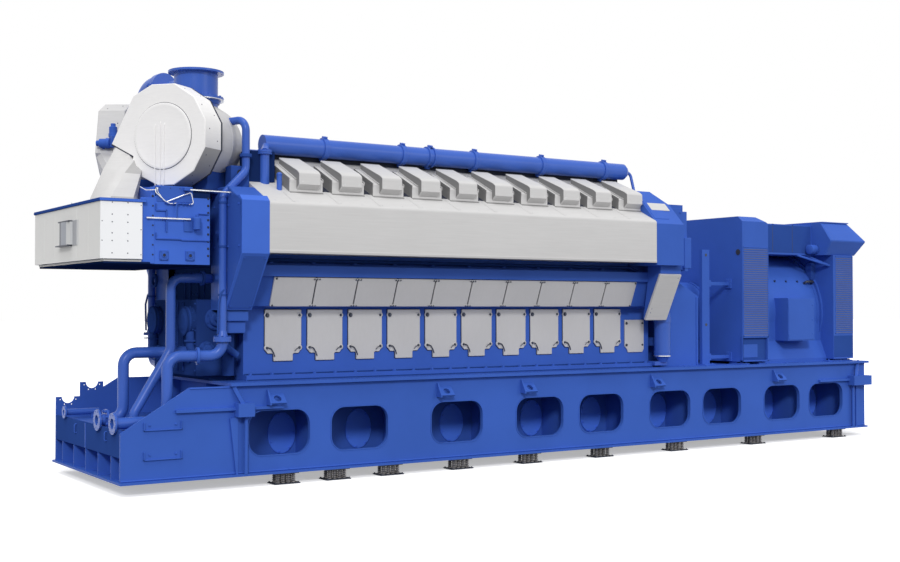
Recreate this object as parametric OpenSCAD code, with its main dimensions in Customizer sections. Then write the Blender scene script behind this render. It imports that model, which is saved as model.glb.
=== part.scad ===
// Gas engine generator set: a twenty-cylinder V engine and its generator on one
// welded base frame that stands on spring pads. Lengths are in millimetres.
// X runs from the free end (turbochargers) to the generator, Z is up, and the
// origin is on the floor under the middle of the set. "near" is the -Y side.
// Sub-parts are drawn from the edge of the first cylinder, on the +Y side, and
// are then mirrored to the side they belong to and shifted to the origin.

/* [Engine] */
// Distance from one cylinder to the next along a bank
cyl_pitch = 560; // [500:5:640]
// Number of cylinders in each bank
cyl_count = 10; // [8:1:12]
// Height of the base frame, from the pads to the top of the deck
base_h = 1060; // [900:10:1250]
// Half width of the crankcase wall
case_half = 864; // [800:2:900]
// Half width over the hot boxes
hot_half = 1584; // [1450:2:1700]
// Tilt of each bank's roof and covers
bank_tilt = 25; // [20:1:30]

/* [Base frame] */
// Length of the base frame behind the last cylinder
base_tail = 4765; // [4600:5:5000]
// Width of the base frame over its side plates
base_w = 2468; // [2400:2:2600]
// Length of the base frame ahead of the first cylinder
base_front = 1855; // [1700:5:2000]
// Thickness of the side plates
side_t = 30; // [15:1:50]
// Thickness of the deck plate
deck_t = 35; // [20:1:50]
// Thickness of the bottom flange
sole_t = 25; // [15:1:40]
// How far the deck and the bottom flange stand out past the side plates
lip = 60; // [40:2:90]
// Width of each window in the side plates
window_w = 800; // [600:10:900]
// Height of each window
window_h = 535; // [400:5:600]
// Corner radius of each window
window_r = 185; // [100:5:240]

/* [Spring pads] */
// Height of the pads, floor to bottom flange
pad_h = 130; // [100:2:180]
// Length of a pad's floor plate
pad_l = 330; // [280:5:400]
// Width of a pad's floor plate
pad_w = 215; // [180:5:260]
// Diameter of one spring
spring_d = 58; // [40:1:62]

/* [Turbochargers] */
// Height of the turbocharger axis above the deck
turbo_up = 2787; // [2600:1:3000]
// Turn of each turbocharger away from the engine's length, seen from above
turbo_yaw = 35; // [25:1:40]
// Diameter over the flat-sided insulation of the front drum
turbo_d = 1150; // [1000:10:1250]
// Diameter of the round end disc
disc_d = 768; // [600:4:900]

/* [Exhaust outlet] */
// Outside diameter of the outlet pipe
outlet_d = 508; // [400:2:560]
// Wall of the outlet pipe
outlet_wall = 10; // [5:1:16]
// Diameter of the outlet flange
outlet_flange_d = 645; // [600:5:700]
// Bolt circle of the outlet flange
outlet_pcd = 600; // [580:2:620]
// Number of bolt holes in the outlet flange
outlet_bolts = 20; // [12:4:24]
// Diameter of each bolt hole
outlet_hole_d = 22; // [18:1:26]
// Height of the outlet flange face above the deck
outlet_up = 3625; // [3500:5:3800]

/* [Air duct and cooler] */
// Length of the white duct box along the set
duct_l = 465; // [350:5:550]
// Height of the duct box
duct_h = 630; // [500:5:700]
// Half width of the duct box
duct_half = 1290; // [1200:5:1350]
// Length of the cooler box
cooler_l = 686; // [600:2:760]

/* [Pipes] */
// Outside diameter of the water pipes
pipe_d = 127; // [100:1:150]
// Outside diameter of the tall vent pipe
vent_d = 92; // [70:1:110]
// Diameter of the pipe flanges at the free end
pipe_flange_d = 240; // [200:5:280]
// Bolt circle of the pipe flanges
pipe_pcd = 200; // [170:2:230]
// Bolt hole diameter of the pipe flanges
pipe_hole_d = 18; // [14:1:22]
// Outside diameter of the gas pipe along each bank
gas_d = 232; // [180:2:260]

/* [Generator] */
// Length of the generator's round frame
stator_l = 1476; // [1300:4:1500]
// Outside diameter of the round frame
stator_d = 1880; // [1600:10:1960]
// Half width over the air boxes
box_half = 1184; // [1100:2:1250]
// Height of the drive-end air box
box_h = 2188; // [2000:4:2400]

/* [Hidden] */

near = -1;
far = 1;
blue = [0.22, 0.35, 0.72];
white = [0.88, 0.88, 0.87];
metal = [0.74, 0.73, 0.72];
black = [0.1, 0.1, 0.12];
grey = [0.35, 0.36, 0.42];
eps = 1;

deck_z = pad_h + base_h;
half_w = base_w / 2;
base_x0 = -base_front;
bank_l = cyl_count * cyl_pitch;
drive_x = bank_l;
base_x1 = drive_x + base_tail;
engine_x0 = -268;
case_x1 = drive_x + 460;
roof_rise = tan(bank_tilt);

// Everything of the generator is placed from the end of the cylinder banks.
shaft_up = 770;
shaft_z = deck_z + shaft_up;
drive_box_x = drive_x + 2056;
stator_x0 = drive_x + 2614;
stator_x1 = stator_x0 + stator_l;
rear_box_x = drive_x + 4090;
rear_box_l = 470;
roof_x1 = drive_x + 4740;
gen_foot = 42;
box_top = deck_z + gen_foot + box_h;

// The turbochargers stand on the cooler box ahead of the engine.
cooler_x1 = engine_x0 - 577;
cooler_x0 = cooler_x1 - cooler_l;
cooler_z0 = deck_z + 1335;
cooler_z1 = deck_z + 2180;
cooler_half = 1244;
joint_strip = 109;
duct_x1 = cooler_x0 - joint_strip;
duct_x0 = duct_x1 - duct_l;
duct_z0 = deck_z + 1380;
duct_z1 = duct_z0 + duct_h;
duct_roof_t = 22;
duct_roof_lip = 12;
turbo_z = deck_z + turbo_up;
turbo_x = cooler_x0 + 236;
turbo_y = 964;
front_drum_l = 330;
rear_drum_l = 720;
rear_drum_d = 980;
turbo_plate_t = 28;
outlet_z = deck_z + outlet_up;
outlet_s = 660;
outlet_x = turbo_x + outlet_s * cos(turbo_yaw);
outlet_y = turbo_y - outlet_s * sin(turbo_yaw);

stub_l = 60;
deck_x1 = base_x1 + 39;
x_lo = duct_x0 - stub_l;
x_hi = max(roof_x1, deck_x1);
x_mid = (x_lo + x_hi) / 2;

// Moves a drawn sub-part to the frame whose origin is under the middle.
module placed() {
    translate([-x_mid, 0, 0]) children();
}

// Draws its children on the given side; they are written for the +Y side.
module on_side(side) {
    mirror([0, side == near ? 1 : 0, 0]) children();
}

// Runs a Y-Z profile along X, from x0 over a length.
module along_x(x0, length) {
    translate([x0, 0, 0]) rotate([90, 0, 90]) linear_extrude(length) children();
}

// Runs an X-Z profile across Y, from y0 over a thickness.
module across_y(y0, thick) {
    translate([0, y0 + thick, 0]) rotate([90, 0, 0]) linear_extrude(thick) children();
}

// A box given by its low corner and its high corner.
module block(low, high) {
    translate(low) cube(high - low);
}

// A rectangle with round corners, centred on its middle.
module round_rect(w, h, r) {
    square([w - 2 * r, h], center = true);
    square([w, h - 2 * r], center = true);
    for (sx = [-1, 1], sy = [-1, 1])
        translate([sx * (w / 2 - r), sy * (h / 2 - r)]) circle(r, $fn = 48);
}

// A bent pipe: straight runs between the points, round elbows at the inner ones.
function unit(v) = v / norm(v);
function bend_cut(a, b, c, r) = r * tan(acos(unit(b - a) * unit(c - b)) / 2);

// The straight runs are a little thicker than the elbows and lap over them.
bend_lap = 4;

module pipe_run(p, d, r) {
    last = len(p) - 1;
    for (i = [0 : last - 1]) {
        u = unit(p[i + 1] - p[i]);
        cut_a = i == 0 ? 0 : bend_cut(p[i - 1], p[i], p[i + 1], r) - bend_lap;
        cut_b = i == last - 1 ? 0 : bend_cut(p[i], p[i + 1], p[i + 2], r) - bend_lap;
        straight_pipe(p[i] + u * cut_a, p[i + 1] - u * cut_b, d);
    }
    for (i = [1 : last - 1])
        pipe_elbow(p[i - 1], p[i], p[i + 1], d - 2, r);
}

module straight_pipe(a, b, d) {
    v = b - a;
    turn = atan2(v.y, v.x);
    lean = atan2(norm([v.x, v.y]), v.z);
    translate(a) rotate([0, lean, turn]) cylinder(h = norm(v), d = d, $fn = 32);
}

module square_bar(a, b, d) {
    v = b - a;
    translate(a) rotate([0, atan2(norm([v.x, v.y]), v.z), atan2(v.y, v.x)])
        translate([-d / 2, -d / 2, 0]) cube([d, d, norm(v)]);
}

module pipe_elbow(a, b, c, d, r) {
    u = unit(b - a);
    w = unit(c - b);
    angle = acos(u * w);
    inward = unit(w - u * (u * w));
    start = b - u * bend_cut(a, b, c, r);
    centre = start + inward * r;
    side = cross(-inward, u);
    multmatrix([
        [-inward.x, u.x, side.x, centre.x],
        [-inward.y, u.y, side.y, centre.y],
        [-inward.z, u.z, side.z, centre.z],
        [0, 0, 0, 1],
    ])
        rotate_extrude(angle = angle, $fn = 64) translate([r, 0]) circle(d = d, $fn = 32);
}

// ---- Base frame ----

sole_z = pad_h + sole_t;
side_top = deck_z - deck_t;
nose_rise = 528;
nose_run = 785;
nose_x1 = base_x0 + nose_run;
deck_x0 = -600;
window_up = 447;
// Windows, pads and webs under the engine, as shares of the bank's length,
// and those under the generator, as distances from the end of the banks.
engine_windows = [0.005, 0.195, 0.446, 0.681, 0.87];
generator_windows = [540, 1573, 2845, 3840];
engine_pads = [0.02, 0.14, 0.272, 0.456, 0.653, 0.873];
generator_pads = [680, 2277, 4104];
engine_webs = [-0.085, 0.1, 0.3205, 0.564, 0.7755, 0.983];
generator_webs = [1057, 2209, 3342, 4370];
window_x = [each [for (s = engine_windows) s * bank_l], each [for (d = generator_windows) drive_x + d]];
pad_x = [each [for (s = engine_pads) s * bank_l], each [for (d = generator_pads) drive_x + d]];
web_x = [each [for (s = engine_webs) s * bank_l], each [for (d = generator_webs) drive_x + d]];
web_t = 20;
pit_half = 565;

module window_cuts() {
    for (x = window_x) translate([x, sole_z + window_up]) round_rect(window_w, window_h, window_r);
}

module base_side(side, outline) {
    color(blue) placed() on_side(side)
        across_y(half_w - side_t, side_t)
            difference() {
                polygon(outline);
                window_cuts();
                children();
            }
}

plain_nose = [
    [base_x0, sole_z], [base_x0, sole_z + nose_rise], [nose_x1, side_top],
    [base_x1, side_top], [base_x1, sole_z],
];

// The far side plate ends in two steps, each with a half-round pipe saddle.
saddle_w = 299;
saddle_d = 160;
saddle_z1 = deck_z - 254;
saddle_z2 = deck_z - 78;
saddle_bolt_d = 18;
stepped_nose = [
    [base_x0, sole_z], [base_x0, saddle_z1], [base_x0 + saddle_w, saddle_z1],
    [base_x0 + saddle_w, saddle_z2], [base_x0 + 2 * saddle_w - 8, saddle_z2],
    [base_x0 + 2 * saddle_w - 8, saddle_z2 - 72], [nose_x1, side_top],
    [base_x1, side_top], [base_x1, sole_z],
];

module saddle_cut(x, z) {
    translate([x, z]) {
        circle(d = saddle_d, $fn = 48);
        for (turn = [200, 245, 295, 340])
            rotate(turn) translate([saddle_d / 2 + 24, 0]) circle(d = saddle_bolt_d, $fn = 24);
    }
}

module base_side_near() {
    base_side(near, plain_nose);
}

module base_side_far() {
    base_side(far, stepped_nose) {
        saddle_cut(base_x0 + saddle_w / 2, saddle_z1);
        saddle_cut(base_x0 + 1.5 * saddle_w, saddle_z2);
    }
}

sump_x0 = 120;
sump_x1 = drive_x + 260;
pit_x0 = stator_x0 - 20;
pit_x1 = stator_x1 + 20;

module base_deck() {
    color(blue) placed()
        difference() {
            block([deck_x0, -half_w - lip, side_top], [deck_x1, half_w + lip, deck_z]);
            for (x = [[sump_x0, sump_x1], [pit_x0, pit_x1]])
                block([x[0], -pit_half, side_top - eps], [x[1], pit_half, deck_z + eps]);
        }
}

sole_w = 300;

module base_bottom_flange() {
    color(blue) placed()
        difference() {
            block([base_x0 - 20, -half_w - lip, pad_h], [base_x1, half_w + lip, sole_z]);
            block([base_x0 + sole_w, -pit_half, pad_h - eps], [base_x1 - sole_w, pit_half, sole_z + eps]);
        }
}

web_hole_w = 1200;
web_hole_h = 520;
sump_depth = 330;

// Cross webs, and the two inner girders that run along the pits between them.
module base_cross_webs() {
    inner_half = half_w - side_t;
    color(blue) placed() {
        for (side = [near, far])
            on_side(side)
                block([tank_x1, pit_half, sole_z], [base_x1 - side_t, pit_half + web_t, side_top]);
        for (x = web_x)
            difference() {
                along_x(x - web_t / 2, web_t)
                    difference() {
                        translate([-inner_half, sole_z]) square([2 * inner_half, side_top - sole_z]);
                        translate([0, sole_z + window_up - 90]) round_rect(web_hole_w, web_hole_h, 240);
                    }
                block([sump_x0, -pit_half, side_top - sump_depth], [sump_x1, pit_half, side_top + eps]);
                block([pit_x0, -pit_half, side_top - 150], [pit_x1, pit_half, side_top + eps]);
            }
    }
}

module base_end_plate() {
    color(blue) placed()
        block([base_x1 - side_t, -half_w + side_t, sole_z], [base_x1, half_w - side_t, side_top]);
}

// Free end: an upper plate that the pipe ends pass, over a set-back ribbed tank.
pipe_plate_z0 = sole_z + 265;
pipe_plate_z1 = sole_z + 560;
tank_setback = 150;
rib_t = 14;
tank_x1 = deck_x0 - 20;
tank_top = sole_z + 545;
low_pipe_z = deck_z - 410;
pipe_plate_x1 = base_x0 + 30;
return_y = -1040;
feed_y = -500;
drain_y = 780;
drain_d = 76;
drain_flange_d = 150;

module base_tank() {
    inner_half = half_w - side_t;
    color(blue) placed() {
        block([base_x0 + tank_setback, -inner_half, sole_z], [tank_x1, inner_half, pipe_plate_z0]);
        block([pipe_plate_x1, -inner_half, pipe_plate_z0], [tank_x1, inner_half, tank_top]);
        for (i = [-2 : 2])
            block([base_x0, i * 460 - rib_t / 2, sole_z],
                  [base_x0 + tank_setback + eps, i * 460 + rib_t / 2, pipe_plate_z0]);
    }
}

module pipe_end_plate() {
    inner_half = half_w - side_t;
    color(blue) placed()
        difference() {
            block([base_x0, -inner_half, pipe_plate_z0], [pipe_plate_x1, inner_half, pipe_plate_z1]);
            for (y = [return_y, feed_y])
                translate([base_x0 - eps, y, low_pipe_z]) rotate([0, 90, 0])
                    cylinder(h = 40, d = pipe_d + 30, $fn = 48);
            translate([base_x0 - eps, drain_y, low_pipe_z]) rotate([0, 90, 0])
                cylinder(h = 40, d = drain_d + 20, $fn = 48);
        }
}

// Lifting lugs: a block at each end with a bar on both sides, and padeyes between.
lug_up = 680;
lug_out = 130;
padeyes = [-24, 0.411 * bank_l, 0.644 * bank_l, drive_x + 274, drive_x + 2753];
post_d = 44;
padeye_hole_d = 90;
padeye_w = 190;
padeye_t = 25;
padeye_reach = 150;
padeye_tilt = 45;
padeye_drop = 100;

module corner_lug(x, reach_out, bar_in, bar_out) {
    z = pad_h + lug_up;
    block([x - reach_out, half_w, z], [x + 100, half_w + lug_out, z + 150]);
    if (bar_out > 0)
        block([x - reach_out - bar_out, half_w, z + 72], [x - reach_out, half_w + 45, z + 102]);
    block([x + 100, half_w, z + 72], [x + 100 + bar_in, half_w + 45, z + 102]);
    across_y(half_w, 30)
        polygon([[x - 160, z - 20], [x - 60, z], [x - 60, sole_z], [x - 85, sole_z]]);
    // A post down to the bottom flange and a bar up to the edge of the deck.
    straight_pipe([x + 30, half_w + 45, sole_z], [x + 30, half_w + 45, z + 10], post_d);
    square_bar([x, half_w + lug_out - 40, z + 110], [x - 110, half_w + 15, side_top], post_d);
}

module padeye(x) {
    z = side_top - padeye_drop;
    translate([x, half_w, z]) rotate([-padeye_tilt, 0, 0])
        difference() {
            translate([-padeye_w / 2, -10, -padeye_t]) cube([padeye_w, padeye_reach + 10, padeye_t]);
            translate([0, padeye_reach - 70, -padeye_t - eps])
                cylinder(h = padeye_t + 2 * eps, d = padeye_hole_d, $fn = 48);
        }
    drop = padeye_reach * sin(padeye_tilt) + padeye_t;
    along_x(x - padeye_w / 2 - 20, 20)
        polygon([[half_w, z + 45], [half_w + 20, z + 45],
                 [half_w + padeye_reach * cos(padeye_tilt), z - drop + 30],
                 [half_w + padeye_reach * cos(padeye_tilt), z - drop], [half_w, z - drop]]);
}

module lifting_lugs(side) {
    color(blue) placed() on_side(side) {
        corner_lug(-440, 100, 400, 700);
        translate([base_x1 - 300, 0, 0]) mirror([1, 0, 0]) corner_lug(0, 320, 700, 0);
        for (x = padeyes) padeye(x);
    }
}

module lifting_lugs_near() {
    lifting_lugs(near);
}

module lifting_lugs_far() {
    lifting_lugs(far);
}

// A spring pad: floor plate, two rows of four springs and a top plate.
pad_plate_t = 12;
spring_gap_x = 66;
spring_gap_y = 90;

module spring_pad() {
    translate([-pad_l / 2, -pad_w / 2, 0]) cube([pad_l, pad_w, pad_plate_t]);
    for (i = [-1.5 : 1.5], j = [-0.5, 0.5])
        translate([i * spring_gap_x, j * spring_gap_y, pad_plate_t])
            cylinder(h = pad_h - 2 * pad_plate_t, d = spring_d, $fn = 24);
    translate([-pad_l / 2 + 15, -pad_w / 2 + 10, pad_h - pad_plate_t])
        cube([pad_l - 30, pad_w - 20, pad_plate_t]);
}

module spring_pads(side) {
    color(black) placed() on_side(side)
        for (x = pad_x) translate([x, half_w - 60, 0]) spring_pad();
}

module spring_pads_near() {
    spring_pads(near);
}

module spring_pads_far() {
    spring_pads(far);
}

// ---- Engine body ----

foot_out = 96;
foot_t = 62;
case_top = deck_z + 850;
slope_y0 = 1024;
slope_y1 = 1164;
slope_z0 = deck_z + 875;
slope_z1 = deck_z + 1220;
beam_y = 1204;
beam_z1 = deck_z + 1350;
neck_y = 984;
neck_z = deck_z + 1470;
block_top = deck_z + 1990;
sump_half = 545;

module oil_sump() {
    color(blue) placed()
        block([sump_x0 + 20, -sump_half, side_top - 300], [sump_x1 - 20, sump_half, deck_z]);
}

case_half_profile = [
    [case_half + foot_out, deck_z], [case_half + foot_out, deck_z + foot_t],
    [case_half, deck_z + foot_t], [case_half, case_top], [slope_y0, slope_z0],
    [slope_y1, slope_z1], [beam_y, slope_z1], [beam_y, beam_z1], [neck_y, beam_z1],
    [neck_y, block_top],
];

function mirrored(p) = [-p.x, p.y];

module crankcase() {
    color(blue) placed()
        along_x(engine_x0, case_x1 - engine_x0)
            polygon([
                each case_half_profile,
                each [for (i = [len(case_half_profile) - 1 : -1 : 0]) mirrored(case_half_profile[i])],
            ]);
}

// Crankcase doors: one per cylinder, narrowing to a neck, and a short one at the end.
door_w = 478;
door_t = 20;
door_top = deck_z + 833;
door_h = 478;
neck_w = 254;
neck_drop = 614;
door_first = 239;

module door_outline(w) {
    polygon([
        [-w / 2, door_top], [w / 2, door_top], [w / 2, door_top - door_h],
        [w / 2 - 40, door_top - door_h - 45], [neck_w / 2, door_top - door_h - 45],
        [neck_w / 2, door_top - neck_drop], [-neck_w / 2, door_top - neck_drop],
        [-neck_w / 2, door_top - door_h - 45], [-w / 2 + 40, door_top - door_h - 45],
        [-w / 2, door_top - door_h],
    ]);
}

module crankcase_covers(side) {
    color(metal) placed() on_side(side) {
        for (i = [0 : cyl_count - 1])
            translate([door_first + i * cyl_pitch, 0, 0])
                across_y(case_half, door_t) door_outline(door_w);
        block([drive_x, case_half, deck_z + 215], [drive_x + 360, case_half + door_t, deck_z + 680]);
    }
}

module crankcase_covers_near() {
    crankcase_covers(near);
}

module crankcase_covers_far() {
    crankcase_covers(far);
}

// Camshaft covers lie on the sloping wall over the doors.
cam_t = 22;
cam_gap = 8;
cam_x0 = -16;

module camshaft_covers(side) {
    run = [slope_y1 - slope_y0, slope_z1 - slope_z0];
    across = cam_t * [run.y, -run.x] / norm(run);
    low = [slope_y0, slope_z0];
    high = [slope_y1, slope_z1];
    color(metal) placed() on_side(side)
        for (i = [0 : cyl_count - 1])
            along_x(cam_x0 + i * cyl_pitch, cyl_pitch - cam_gap)
                polygon([low, low + across, high + across, high]);
}

module camshaft_covers_near() {
    camshaft_covers(near);
}

module camshaft_covers_far() {
    camshaft_covers(far);
}

// Hot box: the insulated casing over each bank, with an upright front and a sloping roof.
hot_z0 = deck_z + 1475;
hot_fold = deck_z + 2050;
hot_x1 = drive_x - 20;
box_y = 700;

function roof_z(y) = hot_fold + (hot_half - y) * roof_rise;

module hot_box(side) {
    color(white) placed() on_side(side)
        along_x(engine_x0, hot_x1 - engine_x0)
            polygon([
                [neck_y, hot_z0], [hot_half, hot_z0], [hot_half, hot_fold],
                [box_y, roof_z(box_y)], [box_y, block_top], [neck_y, block_top],
            ]);
}

module hot_box_near() {
    hot_box(near);
}

module hot_box_far() {
    hot_box(far);
}

// Rocker hoods: on each cylinder a low tray with a narrower hood on top of it.
hood_first = 142;
tray_w = 435;
tray_y = 1244;
tray_h = 155;
hood_w = 280;
hood_y = 1324;
hood_back = 760;
hood_inset = 88;

module rocker_hood() {
    along_x(0, tray_w)
        polygon([
            [tray_y, roof_z(tray_y)], [tray_y, roof_z(tray_y) + tray_h],
            [hood_back, roof_z(hood_back) + tray_h], [hood_back, roof_z(hood_back)],
        ]);
    along_x(hood_inset, hood_w)
        polygon([
            [tray_y, roof_z(tray_y) + 30], [hood_y, roof_z(tray_y) + 90],
            [hood_y, roof_z(tray_y) + 225], [hood_y - 60, roof_z(tray_y) + 262],
            [hood_back, roof_z(hood_back) + 230], [hood_back, roof_z(hood_back) + 30],
        ]);
}

module rocker_hoods(side) {
    color(white) placed() on_side(side)
        for (i = [0 : cyl_count - 1])
            translate([hood_first + i * cyl_pitch, 0, 0]) rocker_hood();
}

module rocker_hoods_near() {
    rocker_hoods(near);
}

module rocker_hoods_far() {
    rocker_hoods(far);
}

// The insulated exhaust box runs between the banks, under the gas pipes.
exhaust_box_top = deck_z + 2680;

module exhaust_box() {
    color(white) placed()
        along_x(-100, hot_x1 + 100)
            polygon([
                [-box_y, block_top], [-box_y, exhaust_box_top - 120], [-box_y + 120, exhaust_box_top],
                [box_y - 120, exhaust_box_top], [box_y, exhaust_box_top - 120], [box_y, block_top],
            ]);
}

// Gas pipe along each bank, with a collar every second cylinder and a saddle under it.
gas_y = 684;
gas_z = deck_z + 2820;
gas_x0 = 46;
gas_x1 = drive_x + 130;
collar_d = gas_d + 34;
collar_l = 40;
branch_x = -58;
branch_y = 984;
branch_d = 115;
branch_top = gas_z - gas_d / 2;
first_collar = 872;

module gas_pipe(side) {
    color(blue) placed() on_side(side) {
        translate([gas_x0, gas_y, gas_z]) rotate([0, 90, 0])
            cylinder(h = gas_x1 - gas_x0, d = gas_d, $fn = 48);
        translate([gas_x1, gas_y, gas_z]) rotate([0, 90, 0])
            cylinder(h = 50, d1 = gas_d, d2 = gas_d - 70, $fn = 48);
        for (i = [0 : floor((cyl_count - 1) / 2)])
            translate([first_collar + i * 2 * cyl_pitch, gas_y, gas_z]) rotate([0, 90, 0])
                cylinder(h = collar_l, d = collar_d, center = true, $fn = 48);
        for (i = [0 : floor((cyl_count - 1) / 2)])
            block([first_collar + i * 2 * cyl_pitch - 18, gas_y - 130, exhaust_box_top],
                  [first_collar + i * 2 * cyl_pitch + 18, gas_y - 20, gas_z]);
        // Purge branch at the free end, and a small drain stub beside it.
        translate([branch_x, branch_y, roof_z(branch_y) - 60])
            cylinder(h = branch_top - roof_z(branch_y) + 60, d = branch_d, $fn = 32);
        translate([branch_x, branch_y, branch_top - 22]) cylinder(h = 22, d = branch_d + 55, $fn = 32);
        straight_pipe([branch_x, branch_y, branch_top - 11], [gas_x0 + 60, gas_y, gas_z], 90);
        translate([branch_x + 96, branch_y + 200, roof_z(branch_y + 200) - 30])
            cylinder(h = 200, d = 62, $fn = 32);
    }
}

module gas_pipes() {
    gas_pipe(near);
    gas_pipe(far);
}

// End covers close the hot boxes at both ends and slope down to the crankcase.
free_cover_l = 336;
free_cover_top = deck_z + 2120;
cover_foot_y = 1100;
cover_foot_z = deck_z + 829;

module free_end_cover(side) {
    color(blue) placed() on_side(side)
        along_x(engine_x0 - free_cover_l, free_cover_l)
            polygon([
                [box_y, cover_foot_z], [cover_foot_y, cover_foot_z], [hot_half, hot_z0 - 12],
                [hot_half, free_cover_top - 60], [hot_half - 70, free_cover_top],
                [box_y, free_cover_top],
            ]);
}

module free_end_covers() {
    free_end_cover(near);
    free_end_cover(far);
}

drive_cover_x1 = drive_x + 485;
drive_cover_fold = deck_z + 2020;
drive_cover_top = deck_z + 2510;
drive_cover_y = hot_half - (drive_cover_top - drive_cover_fold);

module drive_end_cover(side) {
    color(blue) placed() on_side(side) {
        difference() {
            along_x(hot_x1, drive_cover_x1 - hot_x1)
                polygon([
                    [neck_y, hot_z0 - 30], [hot_half, hot_z0 - 30], [hot_half, drive_cover_fold],
                    [drive_cover_y, drive_cover_top], [box_y, drive_cover_top],
                    [box_y, block_top], [neck_y, block_top],
                ]);
            across_y(0, hot_half + eps)
                polygon([
                    [drive_cover_x1 - 200, drive_cover_top + eps],
                    [drive_cover_x1 + eps, drive_cover_top - 200],
                    [drive_cover_x1 + eps, drive_cover_top + eps],
                ]);
        }
        along_x(drive_x + 150, 385)
            polygon([
                [beam_y, deck_z + 1235], [1110, deck_z + 707], [1150, deck_z + 707],
                [1470, deck_z + 1340], [1470, hot_z0 - 30], [beam_y, hot_z0 - 30],
            ]);
    }
}

module drive_end_covers() {
    drive_end_cover(near);
    drive_end_cover(far);
}

housing_x1 = drive_x + 850;
housing_half = 1240;
housing_top = deck_z + 2330;

module gear_housing() {
    color(blue) placed() {
        block([drive_cover_x1, -housing_half, deck_z + 1400],
              [housing_x1 - 60, housing_half, housing_top]);
        block([case_x1, -neck_y, deck_z + 1262], [housing_x1 - 60, neck_y, deck_z + 1400]);
        for (side = [near, far])
            on_side(side)
                block([housing_x1 - 60, 1000, deck_z + 1380], [housing_x1, 1284, deck_z + 1830]);
    }
}

fly_x0 = drive_x + 670;
fly_x1 = drive_x + 1437;
fly_top = deck_z + 1260;
fly_chamfer = 235;

module flywheel_housing() {
    color(blue) placed() {
        across_y(-case_half - door_t, 2 * (case_half + door_t))
            polygon([
                [fly_x0, deck_z], [fly_x0, fly_top], [fly_x1 - 2 * fly_chamfer, fly_top],
                [fly_x1, fly_top - fly_chamfer], [fly_x1, deck_z],
            ]);
        block([case_x1, -600, deck_z], [fly_x0, 600, fly_top]);
    }
}

filter_d = 236;

module oil_filters() {
    color(blue) placed()
        for (side = [near, far])
            on_side(side)
                translate([drive_x + 600, 1010, 0]) {
                    translate([0, 0, deck_z + 160]) cylinder(h = 620, d = filter_d, $fn = 48);
                    translate([0, 0, deck_z + 640]) cylinder(h = 60, d = filter_d + 20, $fn = 48);
                    block([-40, -410, deck_z + 300], [40, -100, deck_z + 420]);
                }
}

// ---- Free end ----

pump_half = 690;
pump_x0 = engine_x0 - 512;
pump_top_x0 = engine_x0 - 252;
pump_step_z = deck_z + 950;
pump_y = 530;
pump_cover_d = 340;
pump_cover_l = 100;

module pump_case() {
    color(blue) placed() {
        block([pump_x0, -pump_half, deck_z + 60], [engine_x0, pump_half, pump_step_z]);
        block([pump_top_x0, -pump_half, pump_step_z], [engine_x0, pump_half, cooler_z0]);
        block([cooler_x1, -pump_half, cooler_z0], [engine_x0, pump_half, cooler_z1]);
        block([pump_x0 + 200, -pump_half + 90, deck_z], [engine_x0, pump_half - 90, deck_z + 60]);
        for (y = [-pump_y, pump_y])
            translate([pump_x0, y, deck_z + 700]) rotate([0, -90, 0])
                cylinder(h = pump_cover_l, d = pump_cover_d, $fn = 48);
        for (side = [near, far])
            on_side(side) {
                block([engine_x0 - 201, pump_half - 20, deck_z + 558],
                      [engine_x0, case_half + door_t, deck_z + 816]);
                translate([-420, 770, deck_z + 60]) cylinder(h = 500, d = 150, $fn = 32);
            }
    }
}

module charge_cooler() {
    color(blue) placed()
        block([cooler_x0, -cooler_half, cooler_z0], [cooler_x1, cooler_half, cooler_z1]);
    color(blue) placed() {
        block([duct_x1, -cooler_half + 40, duct_z0 + 20], [cooler_x0, cooler_half - 40, duct_z1 - 20]);
    }
}

duct_cut = 30;
stub_w = 420;
stub_h = 260;

module air_duct_box() {
    color(white) placed() {
        across_y(-duct_half, 2 * duct_half)
            polygon([
                [duct_x0, duct_z0 + duct_cut], [duct_x0, duct_z1], [duct_x1, duct_z1],
                [duct_x1, duct_z0], [duct_x0 + duct_cut, duct_z0],
            ]);
        block([duct_x0 - stub_l, -stub_w / 2, duct_z0 + 190],
              [duct_x0, stub_w / 2, duct_z0 + 190 + stub_h]);
    }
    color(blue) placed() {
        block([duct_x0 - duct_roof_lip, -duct_half - duct_roof_lip, duct_z1],
              [duct_x1 + 40, duct_half + duct_roof_lip, duct_z1 + duct_roof_t]);
        block([duct_x0 + duct_cut + 20, -duct_half + 90, duct_z0 - 45],
              [duct_x1, duct_half - 90, duct_z0]);
    }
}

// A turbocharger, drawn along its own axis from the outer face.
disc_t = 14;
drum_neck = 20;
// The front drum's outline as shares of its radius: first towards the middle
// of the set, then up. Its long corner is where the scroll duct joins.
drum_outline = [
    [-0.26, -0.965], [0.165, -0.965], [0.623, -0.504], [1.217, -0.104], [0.708, 0.826],
    [0.27, 1.03], [-0.261, 1.017], [-0.708, 0.73], [-0.965, 0.278], [-0.965, -0.26],
    [-0.708, -0.708],
];

// The far drum has no long corner: its duct drops straight to the stand.
far_corner = [0.93, -0.104];

function outline_of(side) =
    [for (i = [0 : len(drum_outline) - 1]) i == 3 && side == far ? far_corner : drum_outline[i]];

module turbo_axis() {
    translate([turbo_x, turbo_y, turbo_z]) rotate([0, 0, -turbo_yaw]) rotate([0, 90, 0]) children();
}

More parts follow.
